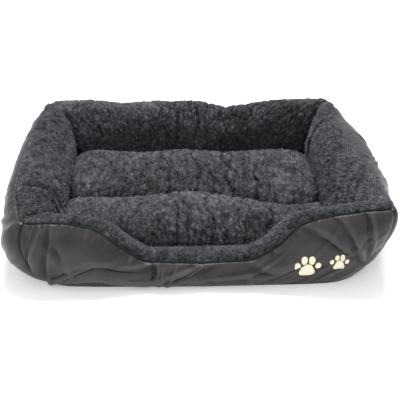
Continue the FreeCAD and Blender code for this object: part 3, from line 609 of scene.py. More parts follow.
def creased(along, down, folds):
    """Height of the cloth's folds; each has its middle, slant in degrees, length, width and height."""
    lift = np.zeros_like(along)
    for a, d, slant, length, width, height in folds:
        ca, sa = math.cos(math.radians(slant)), math.sin(math.radians(slant))
        p = (along - a) * ca + (down - d) * sa
        q = -(along - a) * sa + (down - d) * ca + 0.12 * width * np.sin(p / length * 9)
        fade = np.exp(-(2 * p / length) ** 2)
        valley = 0.75 * np.exp(-((q + 1.7 * width) / width) ** 2)
        lift += height * fade * (np.exp(-(q / width) ** 2) - valley)
    return lift


# Deep folds in the end walls, where the ring turns into the front: counted from the rear on the right,
# from the front on the left, and up from the inner foot
LINER_FOLDS = {
    "right": ((0.425, 0.12, 116, 0.24, 0.0075, 0.0080), (0.382, 0.15, 108, 0.20, 0.0065, 0.0048),
              (0.330, 0.17, 98, 0.14, 0.0065, 0.0030), (0.060, 0.12, 70, 0.20, 0.0070, 0.0050)),
    "left": ((0.070, 0.12, 66, 0.20, 0.0065, 0.0065), (0.115, 0.14, 72, 0.18, 0.0060, 0.0045),
             (0.430, 0.13, 108, 0.18, 0.0065, 0.0045)),
    "rear": ((0.060, 0.12, 68, 0.18, 0.0065, 0.0050), (0.660, 0.12, 112, 0.18, 0.0065, 0.0050),
             (0.235, 0.16, 84, 0.14, 0.0080, 0.0035)),
}
# Painted light and shade on each wall's pile: how much lighter it is painted at the start and at the end of
# each wall, going clockwise round the bed
WALL_PAINTED_LIGHT = {"rear": (0.16, -0.10), "right": (-0.06, -0.02), "front": (-0.10, -0.12), "left": (-0.13, -0.08)}
for number, wall in enumerate(WALLS):
    start, stop = int(CORNERS[number]), int(CORNERS[number + 1])
    cloth = cut(start, stop, 0, RIM_SEAM_ROW, PILE_SPACING)
    along, down = measured(cloth)
    ends = along[-1:, :]
    near_corner = np.minimum(along, ends - along)
    out = facing(cloth)
    sink = CORNER_SINK * np.exp(-(near_corner / 0.010) ** 2) * np.clip(1.15 - down / down.max(), 0.25, 1)
    sink -= creased(along, down, LINER_FOLDS.get(wall, ())) * np.clip((down[:, -1:] - down) / 0.02, 0, 1)
    parted = pressed(cloth[..., 0], down, 0.0040) * (wall == "rear")
    parted *= 0.65 + 0.35 * np.sin(down * 41 + cloth[..., 0] * 120)
    sink += PRESSED_DEPTH * parted
    cloth = cloth - out * sink[..., None]
    # The pile is shorter where it is caught in a seam
    length = PILE_LENGTH * (0.35 + 0.65 * np.clip(near_corner / 0.012, 0, 1))
    length *= 0.45 + 0.55 * np.clip((down.max(axis=1, keepdims=True) - down) / 0.006, 0, 1)
    share = along / ends
    painted_light_and_shade = WALL_PAINTED_LIGHT[wall][0] * (1 - share) + WALL_PAINTED_LIGHT[wall][1] * share
    # Painted light over the rear wall, which holds the pressed streaks
    painted_light_and_shade += PRESSED_WALL_PAINTED_LIGHT * np.clip(parted.mean(), 0, 1)
    face, tips, shade = tufted(cloth, 101 + number, length, (0.0, -0.35), parted, painted_light_and_shade)
    back = cloth - out * BACKING
    for points in (face, tips[0], back):
        points[..., 2] = np.clip(points[..., 2], BASE_TOP + 0.0002, PILE_TOP)
    piece = cloth_piece(f"{wall}_plush_liner", face, back, plush, tips, shade)
    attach(piece, "nest")
    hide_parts(f"{wall}_liner")

# ------------------------------------------------------------------ the outer panels
# Four pieces of polyurethane-coated oxford cloth, one down the outside of each wall, sewn to the liner
# under the rim, to each other at the corners and to the base. The cloth is thin and cut a little
# large, so it lies in soft diagonal folds and gathers along its seams.

PANEL_SPACING = 0.0023
PANEL_CLOTH = 0.0009          # thickness
THREAD_PITCH = 0.0014         # the real threads lie 0.5 mm apart, drawn coarser so the weave can show
FOLD_LIMIT = 0.0085           # no fold stands further from the panel
FOLD_CALM = {"rear": 0.75, "right": 0.55, "front": 0.55, "left": 0.6}
CORNER_SEAM, RIM_SEAM = (0.0035, 0.005), (0.0022, 0.004)      # depth and reach of each seam's pull
SEAM_CLEAR, FOOT_CLEAR = 0.010, 0.034         # where folds fade out, from any seam and from the foot
PANEL_LOWEST = 0.0012
PANEL_REACH = np.array([0.4325, 0.3255])


def woven_threads(nodes, place, pitch):
    """A chequer of raised threads, from -1 to 1, over the first two axes of a place."""
    axes = add_node(nodes, "ShaderNodeSeparateXYZ", Vector=place)
    threads = []
    for axis in ("X", "Y"):
        turn = add_node(nodes, "ShaderNodeMath", {"operation": "MULTIPLY"}, _0=axes.outputs[axis],
                        _1=math.pi / pitch)
        threads.append(add_node(nodes, "ShaderNodeMath", {"operation": "SINE"}, _0=turn.outputs[0]))
    return add_node(nodes, "ShaderNodeMath", {"operation": "MULTIPLY"}, _0=threads[0].outputs[0],
                    _1=threads[1].outputs[0])


def oxford_material():
    """Coated oxford: a plain weave under a thin film, dark brown-grey with a soft, broken gloss, and painted
    light and shade on its folds.
    """
    material, nodes = new_material("polyurethane_coated_oxford")
    cloth = add_node(nodes, "ShaderNodeUVMap", {"uv_map": "cloth"})
    weave = woven_threads(nodes, cloth.outputs["UV"], THREAD_PITCH)
    place = add_node(nodes, "ShaderNodeTexCoord")
    cloud = add_node(nodes, "ShaderNodeTexNoise", Vector=place.outputs["Object"], Scale=14.0, Detail=4.0,
                     Roughness=0.55)
    # The painted light and shade of the folds, read from the pile attribute
    fold = add_node(nodes, "ShaderNodeAttribute", {"attribute_name": "pile"})
    cloud_and_painted_fold_light = add_node(nodes, "ShaderNodeMath", {"operation": "MULTIPLY_ADD"}, _0=cloud.outputs["Fac"], _1=0.8,
                      _2=fold.outputs["Fac"])          # painted light on the folds' ridges, painted shade in their valleys
    colour = add_node(nodes, "ShaderNodeValToRGB", Fac=cloud_and_painted_fold_light.outputs[0])
    colour.color_ramp.elements[0].position, colour.color_ramp.elements[1].position = 0.10, 0.95
    colour.color_ramp.elements[0].color = srgb("#0e0e10")
    colour.color_ramp.elements[1].color = srgb("#464344")
    gloss = add_node(nodes, "ShaderNodeMapRange", Value=cloud.outputs["Fac"], From_Min=0.3, From_Max=0.7,
                     To_Min=0.32, To_Max=0.46)
    bump = add_node(nodes, "ShaderNodeBump", Strength=0.22, Distance=0.0002, Height=weave.outputs[0])
    finish_material(nodes, Base_Color=colour.outputs["Color"], Roughness=gloss.outputs["Result"],
                    Normal=bump.outputs["Normal"], Specular_IOR_Level=0.24)
    return material


oxford = oxford_material()


def chance_folds(rng, length, width):
    """Folds as they fall: long slanting ones, gathers at the foot and puckers under the rim seam."""
    folds = []
    for place in np.arange(0.01, length, 0.030):
        lean = 1 if math.sin(place * 13 + length) > 0 else -1        # neighbouring folds lie side by side
        folds.append((place + rng.uniform(0, 0.02), rng.uniform(0.25, 0.85) * width,
                      lean * rng.uniform(22, 58), rng.uniform(0.05, 0.16),
                      rng.uniform(0.0036, 0.0090), rng.uniform(0.0022, 0.0058)))
    for _ in range(int(length / 0.022)):
        folds.append((rng.uniform(0, length), width - rng.uniform(0, 0.02), 90 + rng.normal(0, 14),
                      rng.uniform(0.04, 0.08), rng.uniform(0.0035, 0.006), rng.uniform(0.0014, 0.0036)))
    for _ in range(int(length / 0.018)):
        folds.append((rng.uniform(0, length), rng.uniform(0, 0.006), 90 + rng.normal(0, 22),
                      rng.uniform(0.02, 0.05), rng.uniform(0.003, 0.005), rng.uniform(0.0010, 0.0024)))
    return folds


# On the front, seen from outside, from the right end: the folds that the cut-down entry throws
FRONT_FOLDS = (
    (0.530, 0.075, -152, 0.22, 0.0085, 0.0070), (0.570, 0.110, -158, 0.26, 0.0095, 0.0075),
    (0.600, 0.060, -146, 0.16, 0.0080, 0.0055),
    (0.492, 0.034, 132, 0.075, 0.0036, 0.0065), (0.470, 0.050, 128, 0.070, 0.0032, 0.0055),
    (0.450, 0.052, 116, 0.060, 0.0034, 0.0065), (0.436, 0.046, 62, 0.050, 0.0030, 0.0045),
    (0.722, 0.075, 116, 0.15, 0.0048, 0.0046), (0.742, 0.100, 122, 0.13, 0.0044, 0.0042),
    (0.762, 0.065, 106, 0.13, 0.0044, 0.0042), (0.680, 0.090, 134, 0.15, 0.0060, 0.0036),
    (0.640, 0.100, -130, 0.14, 0.0060, 0.0050), (0.245, 0.050, 150, 0.12, 0.0050, 0.0055),
    (0.215, 0.075, 158, 0.14, 0.0050, 0.0050), (0.230, 0.100, 152, 0.12, 0.0045, 0.0045),
    (0.120, 0.060, 140, 0.13, 0.0060, 0.0055), (0.070, 0.080, 120, 0.13, 0.0055, 0.0060),
    (0.045, 0.050, 100, 0.12, 0.0050, 0.0055), (0.330, 0.040, 5, 0.16, 0.0050, 0.0030),
)
panel_grids = {}
for number, wall in enumerate(WALLS):
    start, stop = int(CORNERS[number]), int(CORNERS[number + 1])
    cloth = cut(start, stop, RIM_SEAM_ROW, FOOT_ROW, PANEL_SPACING)
    along, down = measured(cloth)
    rng = np.random.default_rng(211 + number)
    length, width = along.max(), down.max()
    folds = [(*fold[:5], fold[5] * FOLD_CALM[wall]) for fold in chance_folds(rng, length, width)]
    if wall == "front":
        folds += FRONT_FOLDS
    ends = along[-1:, :]
    foot = down[:, -1:] - down
    corner = np.minimum(along, ends - along)
    near_edge = np.minimum(np.minimum(down, foot), corner)
    free = np.clip(near_edge / SEAM_CLEAR, 0, 1) * np.clip(foot / FOOT_CLEAR, 0, 1) ** 0.8
    lift = creased(along, down, folds) * free
    for near, (depth, reach) in ((corner, CORNER_SEAM), (down, RIM_SEAM)):
        lift -= depth * np.exp(-(near / reach) ** 2)
    out = facing(cloth)
    lift = FOLD_LIMIT * np.tanh(lift / FOLD_LIMIT)
    face = cloth + out * (lift + 0.0004)[..., None]
    face[..., 2] = np.maximum(face[..., 2], PANEL_LOWEST)
    face[..., :2] = np.clip(face[..., :2], -PANEL_REACH, PANEL_REACH)
    panel_grids[wall] = face
    # Painted light and shade: ridges and cloth that faces up are painted lighter, valleys stay painted dark
    painted_fold_light_and_shade = 0.03 + 70 * (lift + 0.0008) + 0.75 * (facing(face) - out)[..., 2]
    inner = face - facing(face) * PANEL_CLOTH
    piece = cloth_piece(f"{wall}_oxford_panel", face, inner, oxford, shade=painted_fold_light_and_shade)
    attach(piece, "nest")
    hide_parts(f"{wall}_outer_panel")

# ------------------------------------------------------------------ the wall fillings
# A loose roll of white hollow polyester fibre in each wall, a little smaller than its cover so that it
# lies clear of the cloth. It isn't seen unless a seam is opened.

FILL_INSET = 0.015            # between the filling and its cover


def fibre_material():
    """Hollow polyester fibre: white, soft and cloudy, with no gloss."""
    material, nodes = new_material("hollow_polyester_fibre")
    place = add_node(nodes, "ShaderNodeTexCoord")
    fluff = add_node(nodes, "ShaderNodeTexNoise", Vector=place.outputs["Object"], Scale=60.0, Detail=6.0,
                     Roughness=0.7)
    colour = add_node(nodes, "ShaderNodeValToRGB", Fac=fluff.outputs["Fac"])
    colour.color_ramp.elements[0].color = srgb("#d3d3cf")
    colour.color_ramp.elements[1].color = srgb("#f6f6f3")
    bump = add_node(nodes, "ShaderNodeBump", Strength=0.6, Distance=0.002, Height=fluff.outputs["Fac"])
    finish_material(nodes, Base_Color=colour.outputs["Color"], Roughness=0.95,
                    Normal=bump.outputs["Normal"], Sheen_Weight=0.2)
    return material


fibre = fibre_material()
for number, wall in enumerate(WALLS):
    start, stop = int(CORNERS[number]), int(CORNERS[number + 1])
    bundle = stuffed[np.arange(start + 3, stop - 2, 3) % RING_COLUMNS][:, ::2]
    heart = bundle.mean(axis=1, keepdims=True)
    spoke = bundle - heart
    far = np.linalg.norm(spoke, axis=2, keepdims=True)
    lumps = 0.0015 * np.sin(bundle[..., :1] * 90 + bundle[..., 2:] * 140) * np.cos(bundle[..., 1:2] * 80)
    bundle = heart + spoke * np.maximum(far - FILL_INSET + lumps, 0.3 * far) / far
    bundle[..., 2] = np.maximum(bundle[..., 2], BASE_TOP + 0.001)
    nu, nv = bundle.shape[:2]
    index = np.arange(nu * nv).reshape(nu, nv)
    caps = np.concatenate([fan(index[0], nu * nv), fan(index[-1], nu * nv + 1)[:, [1, 0, 2]]])
    points = np.vstack([bundle.reshape(-1, 3), bundle[[0, -1]].mean(axis=1)])
    mesh = skin(f"{wall}_wall_filling", points, band_quads(index)[:, [0, 3, 2, 1]], caps)
    piece = as_piece(mesh, fibre)
    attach(piece, "nest")
    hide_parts(f"{wall}_bolster_fill")

# ------------------------------------------------------------------ the base
# One panel of black cloth under the whole nest, cut with round corners and sewn to the walls' outer
# feet. Soft plastic dots printed on its underside keep it from sliding.

BASE_CLOTH = (0.0003, 0.0010)      # height of its underside and of its top
DOT_PITCH, DOT_RADIUS, DOT_SIDES = 0.017, 0.0028, 10


def woven_material(name, dark, light, pitch, roughness):
    """A plain woven cloth: a chequer of raised threads, a little lighter where they rise."""
    material, nodes = new_material(name)
    place = add_node(nodes, "ShaderNodeTexCoord")
    weave = woven_threads(nodes, place.outputs["Object"], pitch)
    cloud = add_node(nodes, "ShaderNodeTexNoise", Vector=place.outputs["Object"], Scale=30.0, Detail=3.0)
    raised = add_node(nodes, "ShaderNodeMath", {"operation": "MULTIPLY_ADD", "use_clamp": True},
                      _0=weave.outputs[0], _1=0.25, _2=cloud.outputs["Fac"])
    colour = add_node(nodes, "ShaderNodeValToRGB", Fac=raised.outputs[0])
    colour.color_ramp.elements[0].color = srgb(dark)
    colour.color_ramp.elements[1].color = srgb(light)
    bump = add_node(nodes, "ShaderNodeBump", Strength=0.4, Distance=0.0003, Height=weave.outputs[0])
    finish_material(nodes, Base_Color=colour.outputs["Color"], Roughness=roughness,
                    Normal=bump.outputs["Normal"], Sheen_Weight=0.1)
    return material


def dot_material():
    """Soft PVC dots, printed and cured: black and slightly glossy."""
    material, nodes = new_material("printed_pvc_dots")
    place = add_node(nodes, "ShaderNodeTexCoord")
    grain = add_node(nodes, "ShaderNodeTexNoise", Vector=place.outputs["Object"], Scale=400.0)
    rough = add_node(nodes, "ShaderNodeMapRange", Value=grain.outputs["Fac"], To_Min=0.35, To_Max=0.5)
    finish_material(nodes, Base_Color=srgb("#1c1c1d"), Roughness=rough.outputs["Result"])
    return material


foot = stuffed[:, FOOT_ROW, :2]
foot = foot * (1 + 0.0015 / np.linalg.norm(foot, axis=1, keepdims=True))
count = len(foot)
shrinks = (1.0, 0.97, 0.85, 0.6, 0.3)
sides = []
for height in BASE_CLOTH:
    sides.append(np.vstack([np.c_[foot * k, np.full(count, height)] for k in shrinks] + [[[0, 0, height]]]))
below, above = sides
layer = len(below)
index = np.arange(count * len(shrinks)).reshape(len(shrinks), count)
after = np.roll(index[0], -1)
bands = band_quads(index)
hub = fan(index[-1], layer - 1)
rim = np.stack([index[0], index[0] + layer, after + layer, after], axis=-1)
# The outline runs clockwise seen from above, so the underside's faces keep its order
dots = []
for row, y in enumerate(np.arange(-0.26, 0.2601, DOT_PITCH * 0.866)):
    for x in np.arange(-0.35, 0.3501, DOT_PITCH) + (row % 2) * DOT_PITCH / 2:
        corner = max(abs(x) - 0.305, 0) ** 2 + max(abs(y) - 0.205, 0) ** 2
        if corner < 0.055 ** 2 and abs(x) < 0.36:
            dots.append((x, y))
dots = np.array(dots)
spin = np.linspace(0, 2 * math.pi, DOT_SIDES, endpoint=False)
ring_of = [(DOT_RADIUS, BASE_CLOTH[0] + 0.0002), (DOT_RADIUS * 0.85, 0.0001)]
dome = np.vstack([np.c_[r * np.cos(spin), r * np.sin(spin), np.full(DOT_SIDES, z)] for r, z in ring_of]
                 + [[[0, 0, 0.0]], [[0, 0, BASE_CLOTH[0] + 0.0002]]])
wide = np.arange(DOT_SIDES)
dome_quads = band_quads(np.stack([wide, wide + DOT_SIDES]))[:, ::-1]
dome_fans = np.concatenate([fan(wide + DOT_SIDES, 2 * DOT_SIDES)[:, [1, 0, 2]],
                            fan(wide, 2 * DOT_SIDES + 1)])
each = 2 * layer + np.arange(len(dots))[:, None, None] * len(dome)
dot_points = (dome[None] + np.c_[dots, np.zeros(len(dots))][:, None]).reshape(-1, 3)
quads = np.concatenate([bands, bands[:, ::-1] + layer, rim])
fans = np.concatenate([hub, hub[:, ::-1] + layer])
mesh = skin("base_cloth_with_dots", np.vstack([below, above, dot_points]), quads,
            (dome_quads[None] + each).reshape(-1, 4), fans, (dome_fans[None] + each).reshape(-1, 3))
base_cloth = woven_material("black_woven_polyester", "#0f0f10", "#262627", 0.0016, 0.85)
base = as_piece(mesh, base_cloth, dot_material())
kinds = np.concatenate([np.zeros(len(quads)), np.ones(len(dome_quads) * len(dots)), np.zeros(len(fans)),
                        np.ones(len(dome_fans) * len(dots))]).astype(np.int32)
mesh.polygons.foreach_set("material_index", kinds)
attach(base, "nest")
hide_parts("base_panel")

# ------------------------------------------------------------------ the padded floor
# Between the walls, a mat of fibre wadding lies on the base under a dark woven lining, sewn down along
# the walls' inner feet. It shows only when the cushion is lifted out.

(_, _, wadding_low), (high_x, high_y, wadding_high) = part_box("floor_wadding")
lining_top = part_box("floor_lining")[1][2]


def flat_grid(half_x, half_y, height, spacing, rounding=10.0):
    """A level rectangular grid with slightly rounded corners."""
    x = np.linspace(-1, 1, int(2 * half_x / spacing))
    y = np.linspace(-1, 1, int(2 * half_y / spacing))
    gx, gy = np.meshgrid(x, y, indexing="ij")
    square = np.maximum(np.maximum(np.abs(gx), np.abs(gy)), 1e-9)
    tuck = ((np.abs(gx) / square) ** rounding + (np.abs(gy) / square) ** rounding) ** (-1 / rounding)
    keep = 1 - (1 - tuck) * square ** 6
    return np.stack([gx * half_x * keep, gy * half_y * keep, np.full_like(gx, height)], axis=2)


wad_top = flat_grid(high_x - 0.002, high_y - 0.002, wadding_high - 0.0004, 0.010, 24.0)
wad_low = flat_grid(high_x - 0.002, high_y - 0.002, wadding_low + 0.0004, 0.010, 24.0)
wadding = cloth_piece("floor_wadding_mat", wad_top, wad_low, fibre)
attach(wadding, "nest")
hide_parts("floor_wadding")

lining_face = flat_grid(high_x - 0.0005, high_y - 0.0005, lining_top - 0.0001, 0.005, 30.0)
ripple = np.sin(lining_face[..., 0] * 70 + 2 * np.sin(lining_face[..., 1] * 31))
ripple = ripple * np.cos(lining_face[..., 1] * 55)
lining_face[..., 2] -= 0.00022 * (1 + ripple)
lining_back = flat_grid(high_x - 0.0005, high_y - 0.0005, wadding_high + 0.0001, 0.005, 30.0)
lining_cloth = woven_material("plain_woven_lining", "#2a2c2f", "#45484d", 0.0018, 0.8)
lining = cloth_piece("floor_lining_cloth", lining_face, lining_back, lining_cloth)
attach(lining, "nest")
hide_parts("floor_lining")

# ------------------------------------------------------------------ the paw prints
# Two paw prints in cream film, heat-pressed on the right of the front panel. Each is four toes and a
# heel pad; the film follows the cloth's folds and stands a fraction of a millimetre proud of it.

PRINTS = ((0.222, 0.0555, 0.030), (0.288, 0.0645, 0.022))       # middle across and up, and half height
# Each toe's middle and half width and height, and the heel pad's circles, in half heights of the print
TOES = ((-0.72, 0.16, 0.20, 0.27), (-0.26, 0.62, 0.21, 0.30),
        (0.26, 0.62, 0.21, 0.30), (0.72, 0.16, 0.20, 0.27))
HEEL = ((0, 0.02, 0.34), (-0.30, -0.46, 0.27), (0.30, -0.46, 0.27))
FILM_PROUD, FILM_RINGS, FILM_SPOKES = 0.0005, 7, 40


def film_material():
    """Heat-pressed vinyl film: cream, nearly matt, with a faint grain from the cloth under it."""
    material, nodes = new_material("heat_pressed_vinyl_film")
    place = add_node(nodes, "ShaderNodeTexCoord")
    grain = add_node(nodes, "ShaderNodeTexNoise", Vector=place.outputs["Object"], Scale=500.0, Detail=3.0)
    colour = add_node(nodes, "ShaderNodeValToRGB", Fac=grain.outputs["Fac"])
    colour.color_ramp.elements[0].color = srgb("#cfc6ae")
    colour.color_ramp.elements[1].color = srgb("#f1e9d4")
    bump = add_node(nodes, "ShaderNodeBump", Strength=0.2, Distance=0.0002, Height=grain.outputs["Fac"])
    finish_material(nodes, Base_Color=colour.outputs["Color"], Roughness=0.55,
                    Normal=bump.outputs["Normal"])
    return material


front_face = panel_grids["front"]
nu, nv = front_face.shape[:2]
index = np.arange(nu * nv).reshape(nu, nv)
front_tree = BVHTree.FromPolygons(front_face.reshape(-1, 3).tolist(), grid_quads(index).tolist())


def pad_outline(circles, spin):
    """The outline of the smallest shape round some circles, read at each turn from its middle."""
    middle = np.mean([c[:2] for c in circles], axis=0)
    edge = []
    for turn in spin:
        way = np.array([math.cos(turn), math.sin(turn)])
        far = 0.0
        for a in range(len(circles)):
            for b in range(a, len(circles)):
                for share in np.linspace(0, 1, 9):
                    spot = np.array(circles[a]) * (1 - share) + np.array(circles[b]) * share
                    reach = way @ (spot[:2] - middle)
                    off = spot[2] ** 2 - ((spot[:2] - middle) @ (spot[:2] - middle) - reach ** 2)
                    if off > 0:
                        far = max(far, reach + math.sqrt(off))
        edge.append(middle + far * way)
    return middle, np.array(edge)


film_points, film_quads, film_fans = [], [], []
spin = np.linspace(0, 2 * math.pi, FILM_SPOKES, endpoint=False)
for across, up, size in PRINTS:
    pads = [HEEL] + [((dx, dz + rz - rx, rx), (dx, dz - rz + rx, rx)) for dx, dz, rx, rz in TOES]
    for circles in pads:
        middle, edge = pad_outline(circles, spin)
        shares = np.linspace(1, 0, FILM_RINGS, endpoint=False)
        flat = np.vstack([middle + (edge - middle) * share for share in shares] + [middle[None]])
        first = sum(len(p) for p in film_points)
        both = []
        for proud in (FILM_PROUD, 0.0001):
            on_cloth = []
            for dx, dz in flat:
                spot = Vector((across + dx * size, -0.5, up + dz * size))
                hit = front_tree.ray_cast(spot, Vector((0, 1, 0)))[0]
                on_cloth.append((hit.x, hit.y - proud, hit.z))
            both.append(np.array(on_cloth))
        half = len(flat)
        rows = first + np.arange(FILM_RINGS * FILM_SPOKES).reshape(FILM_RINGS, FILM_SPOKES)
        after = np.roll(rows[0], -1)
        top = band_quads(rows)
        hub = fan(rows[-1], first + half - 1)
        film_points += both
        film_quads += [top, top[:, ::-1] + half,
                       np.stack([after, rows[0], rows[0] + half, after + half], axis=-1)]
        film_fans += [hub, hub[:, ::-1] + half]
mesh = skin("paw_print_film", np.vstack(film_points), np.vstack(film_quads), np.vstack(film_fans))
film = as_piece(mesh, film_material())
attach(film, "nest")
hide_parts("front_motif")

# ------------------------------------------------------------------ the cushion
# A loose cushion of two long lobes with a sewn crease between them: plush over the top and sides,
# plain lining cloth underneath, and a fibre filling in each lobe. The cover is simulated under the
# filling's pressure and puckers along the crease; its middle is pressed like the rear wall.

(_, _, cushion_low), (CUSHION_X, CUSHION_Y, _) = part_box("cushion_top_panel")
LOBE_HEIGHT = 0.077
LOBE_COLUMNS, LOBE_ROWS = 92, 74
COVER_PRESSURE, COVER_FRAMES, COVER_SLACK, COVER_GIVE = 1.6, 16, 0.05, 0.012
CREASE_HOLD = 0.85            # how firmly the crease's seam holds
UNDERCUT = 0.045              # below this the cover keeps to the cushion's plan
CUSHION_SPACING = 0.0033      # between drawn tips


def lobes_across(y):
    """The cushion's height along its depth, as a share: two lobes with a crease between them."""
    off = np.abs(y) / CUSHION_Y * 2 - 1
    outer = np.sqrt(np.clip(1 - np.abs(off) ** 7, 0, 1))
    inner = 0.40 + 0.60 * np.sqrt(np.clip(1 - np.abs(off) ** 4, 0, 1))
    return np.where(off > 0, outer, inner)


def lobe_along(x):
    """The cushion's height along its length, as a share, which falls off only at the ends."""
    return np.clip(1 - np.abs(x / CUSHION_X) ** 16, 0, 1) ** 0.5


def by_length(reach, height, form, count):
    """Places across the cushion at even distances over its curved surface."""
    fine = reach * np.sin(np.linspace(-math.pi / 2, math.pi / 2, 1201))
    gone = np.r_[0, np.cumsum(np.hypot(np.diff(fine), np.diff(form(fine) * height)))]
    return np.interp(np.linspace(0, gone[-1], count), gone, fine)


place_x = by_length(CUSHION_X, 0.055, lobe_along, LOBE_COLUMNS)
place_y = by_length(CUSHION_Y, LOBE_HEIGHT, lobes_across, LOBE_ROWS)
grid_x, grid_y = np.meshgrid(place_x, place_y, indexing="ij")
crease_bend = -0.012 - 0.36 * grid_x ** 2 - 0.16 * np.clip(grid_x, 0, 1)
height = lobe_along(grid_x) * lobes_across(grid_y)
lowered = 1 - 0.13 * (grid_y < 0) - 0.14 * np.exp(-((grid_x - 0.225) / 0.085) ** 2) * (grid_y < 0)
swell = lowered + 0.05 * np.sin(grid_x * 9 + 1) * np.sin(grid_y * 14 + 0.6) + 0.03 * np.sin(grid_x * 23 + 2)
mid = np.clip(1 - np.abs(grid_y) / CUSHION_Y, 0, 1) * np.clip(1 - np.abs(grid_x / CUSHION_X) ** 9, 0, 1)
top = np.stack([grid_x, grid_y + crease_bend * mid, cushion_low + LOBE_HEIGHT * height * swell], axis=2)
square = np.maximum(np.maximum(np.abs(top[..., 0]) / CUSHION_X, np.abs(top[..., 1]) / CUSHION_Y), 1e-9)
tuck = ((np.abs(top[..., 0]) / CUSHION_X / square) ** 12 + (np.abs(top[..., 1]) / CUSHION_Y / square) ** 12)
top[..., :2] *= (1 - (1 - tuck ** (-1 / 12)) * square ** 8)[..., None]
shoulder = np.clip((top[..., 2] - 0.030) / 0.045, 0, 1)
top[..., 0] *= 1 + 0.055 * shoulder * np.abs(grid_x / CUSHION_X) ** 5
top[..., 1] *= 1 + 0.050 * shoulder * np.abs(grid_y / CUSHION_Y) ** 5 * (grid_y < 0)
index = np.arange(LOBE_COLUMNS * LOBE_ROWS).reshape(LOBE_COLUMNS, LOBE_ROWS)
under = index.copy()
inner_count = (LOBE_COLUMNS - 2) * (LOBE_ROWS - 2)
under[1:-1, 1:-1] = index.size + np.arange(inner_count).reshape(LOBE_COLUMNS - 2, -1)
flat_under = top[1:-1, 1:-1].copy()
flat_under[..., 2] = cushion_low
crease_row = int(np.argmin(np.abs(place_y)))
quads = np.concatenate([grid_quads(index), grid_quads(under)[:, ::-1]])
points = np.vstack([top.reshape(-1, 3), flat_under.reshape(-1, 3)])
pins = np.ones(len(points))
hold = np.zeros((LOBE_COLUMNS, LOBE_ROWS))
hold[[0, -1]] = hold[:, [0, -1]] = 1
hold[:, crease_row] = CREASE_HOLD
pins[:index.size] = hold.ravel()
slack = np.zeros(len(points))
slack[:index.size] = COVER_SLACK
filled = stuff(skin("cushion_cover", points, quads), pins, slack, COVER_PRESSURE, COVER_FRAMES)
top = held_within(top, filled[:index.size].reshape(top.shape), COVER_GIVE)
top[..., 2] = np.maximum(top[..., 2], cushion_low)
low = top[..., 2] < UNDERCUT
top[..., 0] = np.where(low, np.clip(top[..., 0], -CUSHION_X, CUSHION_X), top[..., 0])
top[..., 1] = np.where(low, np.clip(top[..., 1], -CUSHION_Y, CUSHION_Y - 0.003), top[..., 1])

length = np.linalg.norm(np.diff(top, axis=0), axis=2).sum(axis=0).max()
width = np.linalg.norm(np.diff(top, axis=1), axis=2).sum(axis=1).max()
across = np.linspace(0, LOBE_COLUMNS - 1, int(length / CUSHION_SPACING))
down = np.linspace(0, LOBE_ROWS - 1, int(width / CUSHION_SPACING))
cloth = np.einsum("ai,ijc->ajc", weights(LOBE_COLUMNS, across, closed=False), top)
cloth = np.einsum("bj,ajc->abc", weights(LOBE_ROWS, down, closed=False), cloth)
along, over = measured(cloth)
out = facing(cloth)
slanted = cloth[..., 0] + 0.10 * cloth[..., 1]
dimples = (0.5 + 0.5 * np.sin(cloth[..., 0] * 31 + 1.5 * np.sin(cloth[..., 1] * 23))) * 0.0015
parted = pressed(slanted, cloth[..., 1], 0.0042)
parted = parted * (0.35 + 0.65 * np.sin(cloth[..., 1] * 43 + slanted * 90) ** 2)
# Painted light along the front lobe's crest and over its middle, and painted shade on both lobes' front
# slopes, as the overhead light falls on them
painted_light_and_shade = 0.10 * np.exp(-((cloth[..., 1] + 0.055) / 0.035) ** 2)
painted_light_and_shade -= 0.04 * np.exp(-((cloth[..., 1] - 0.05) / 0.05) ** 2)
painted_light_and_shade += 0.10 * np.exp(-((cloth[..., 0] - 0.045) / 0.10) ** 2) * (cloth[..., 1] < 0)
edge = np.minimum(np.minimum(along, along[-1:] - along), np.minimum(over, over[:, -1:] - over))
parted *= np.clip(edge / 0.03, 0, 1)
cloth = cloth - out * (PRESSED_DEPTH * parted + dimples)[..., None]
length = PILE_LENGTH * (0.3 + 0.7 * np.clip(edge / 0.01, 0, 1))
face, tips, shade = tufted(cloth, 307, length, (0.05, -0.3), parted, painted_light_and_shade)
face[..., 2] = np.maximum(face[..., 2], cushion_low)
tips[0][..., 2] = np.maximum(tips[0][..., 2], cushion_low)
back = cloth - out * BACKING
back[..., 2] = np.maximum(back[..., 2], cushion_low)
# The cover is open behind the zip's tapes, and its pile is sheared back round them
tapes_low, tapes_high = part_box("zip_tapes")
for points, behind in ((face, 0.0003), (tips[0], 0.0003), (back, 0.0018)):
    beside = np.maximum(np.abs(points[..., 0]) - tapes_high[0], points[..., 2] - tapes_high[2])
    limit = tapes_low[1] - behind + 0.010 * np.clip(beside / 0.004, 0, 1)
    points[..., 1] = np.minimum(points[..., 1], limit)
piece = cloth_piece("cushion_plush_cover", face, back, plush, tips, shade)
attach(piece, "cushion")
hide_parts("cushion_top_panel")

LOBE_INSET, LOBE_COVERED = 0.011, 0.017       # between a lobe's filling and its cover, beside and above
for name, rows in (("front", slice(4, crease_row - 2)), ("rear", slice(crease_row + 3, LOBE_ROWS - 4))):
    lobe = top[4:-4:2, rows][:, ::2].copy()
    heart = lobe.mean(axis=(0, 1))
    reach = np.ptp(lobe, axis=(0, 1)) / 2
    lobe[..., :2] = heart[:2] + (lobe[..., :2] - heart[:2]) * (1 - LOBE_INSET / reach[:2])
    lobe[..., 2] = np.maximum(lobe[..., 2] - LOBE_COVERED, cushion_low + 0.006)
    sole = lobe.copy()
    sole[..., 2] = cushion_low + 0.0012
    piece = cloth_piece(f"cushion_{name}_filling", lobe, sole, fibre)
    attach(piece, "cushion")
    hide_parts(f"cushion_fill_{name}")

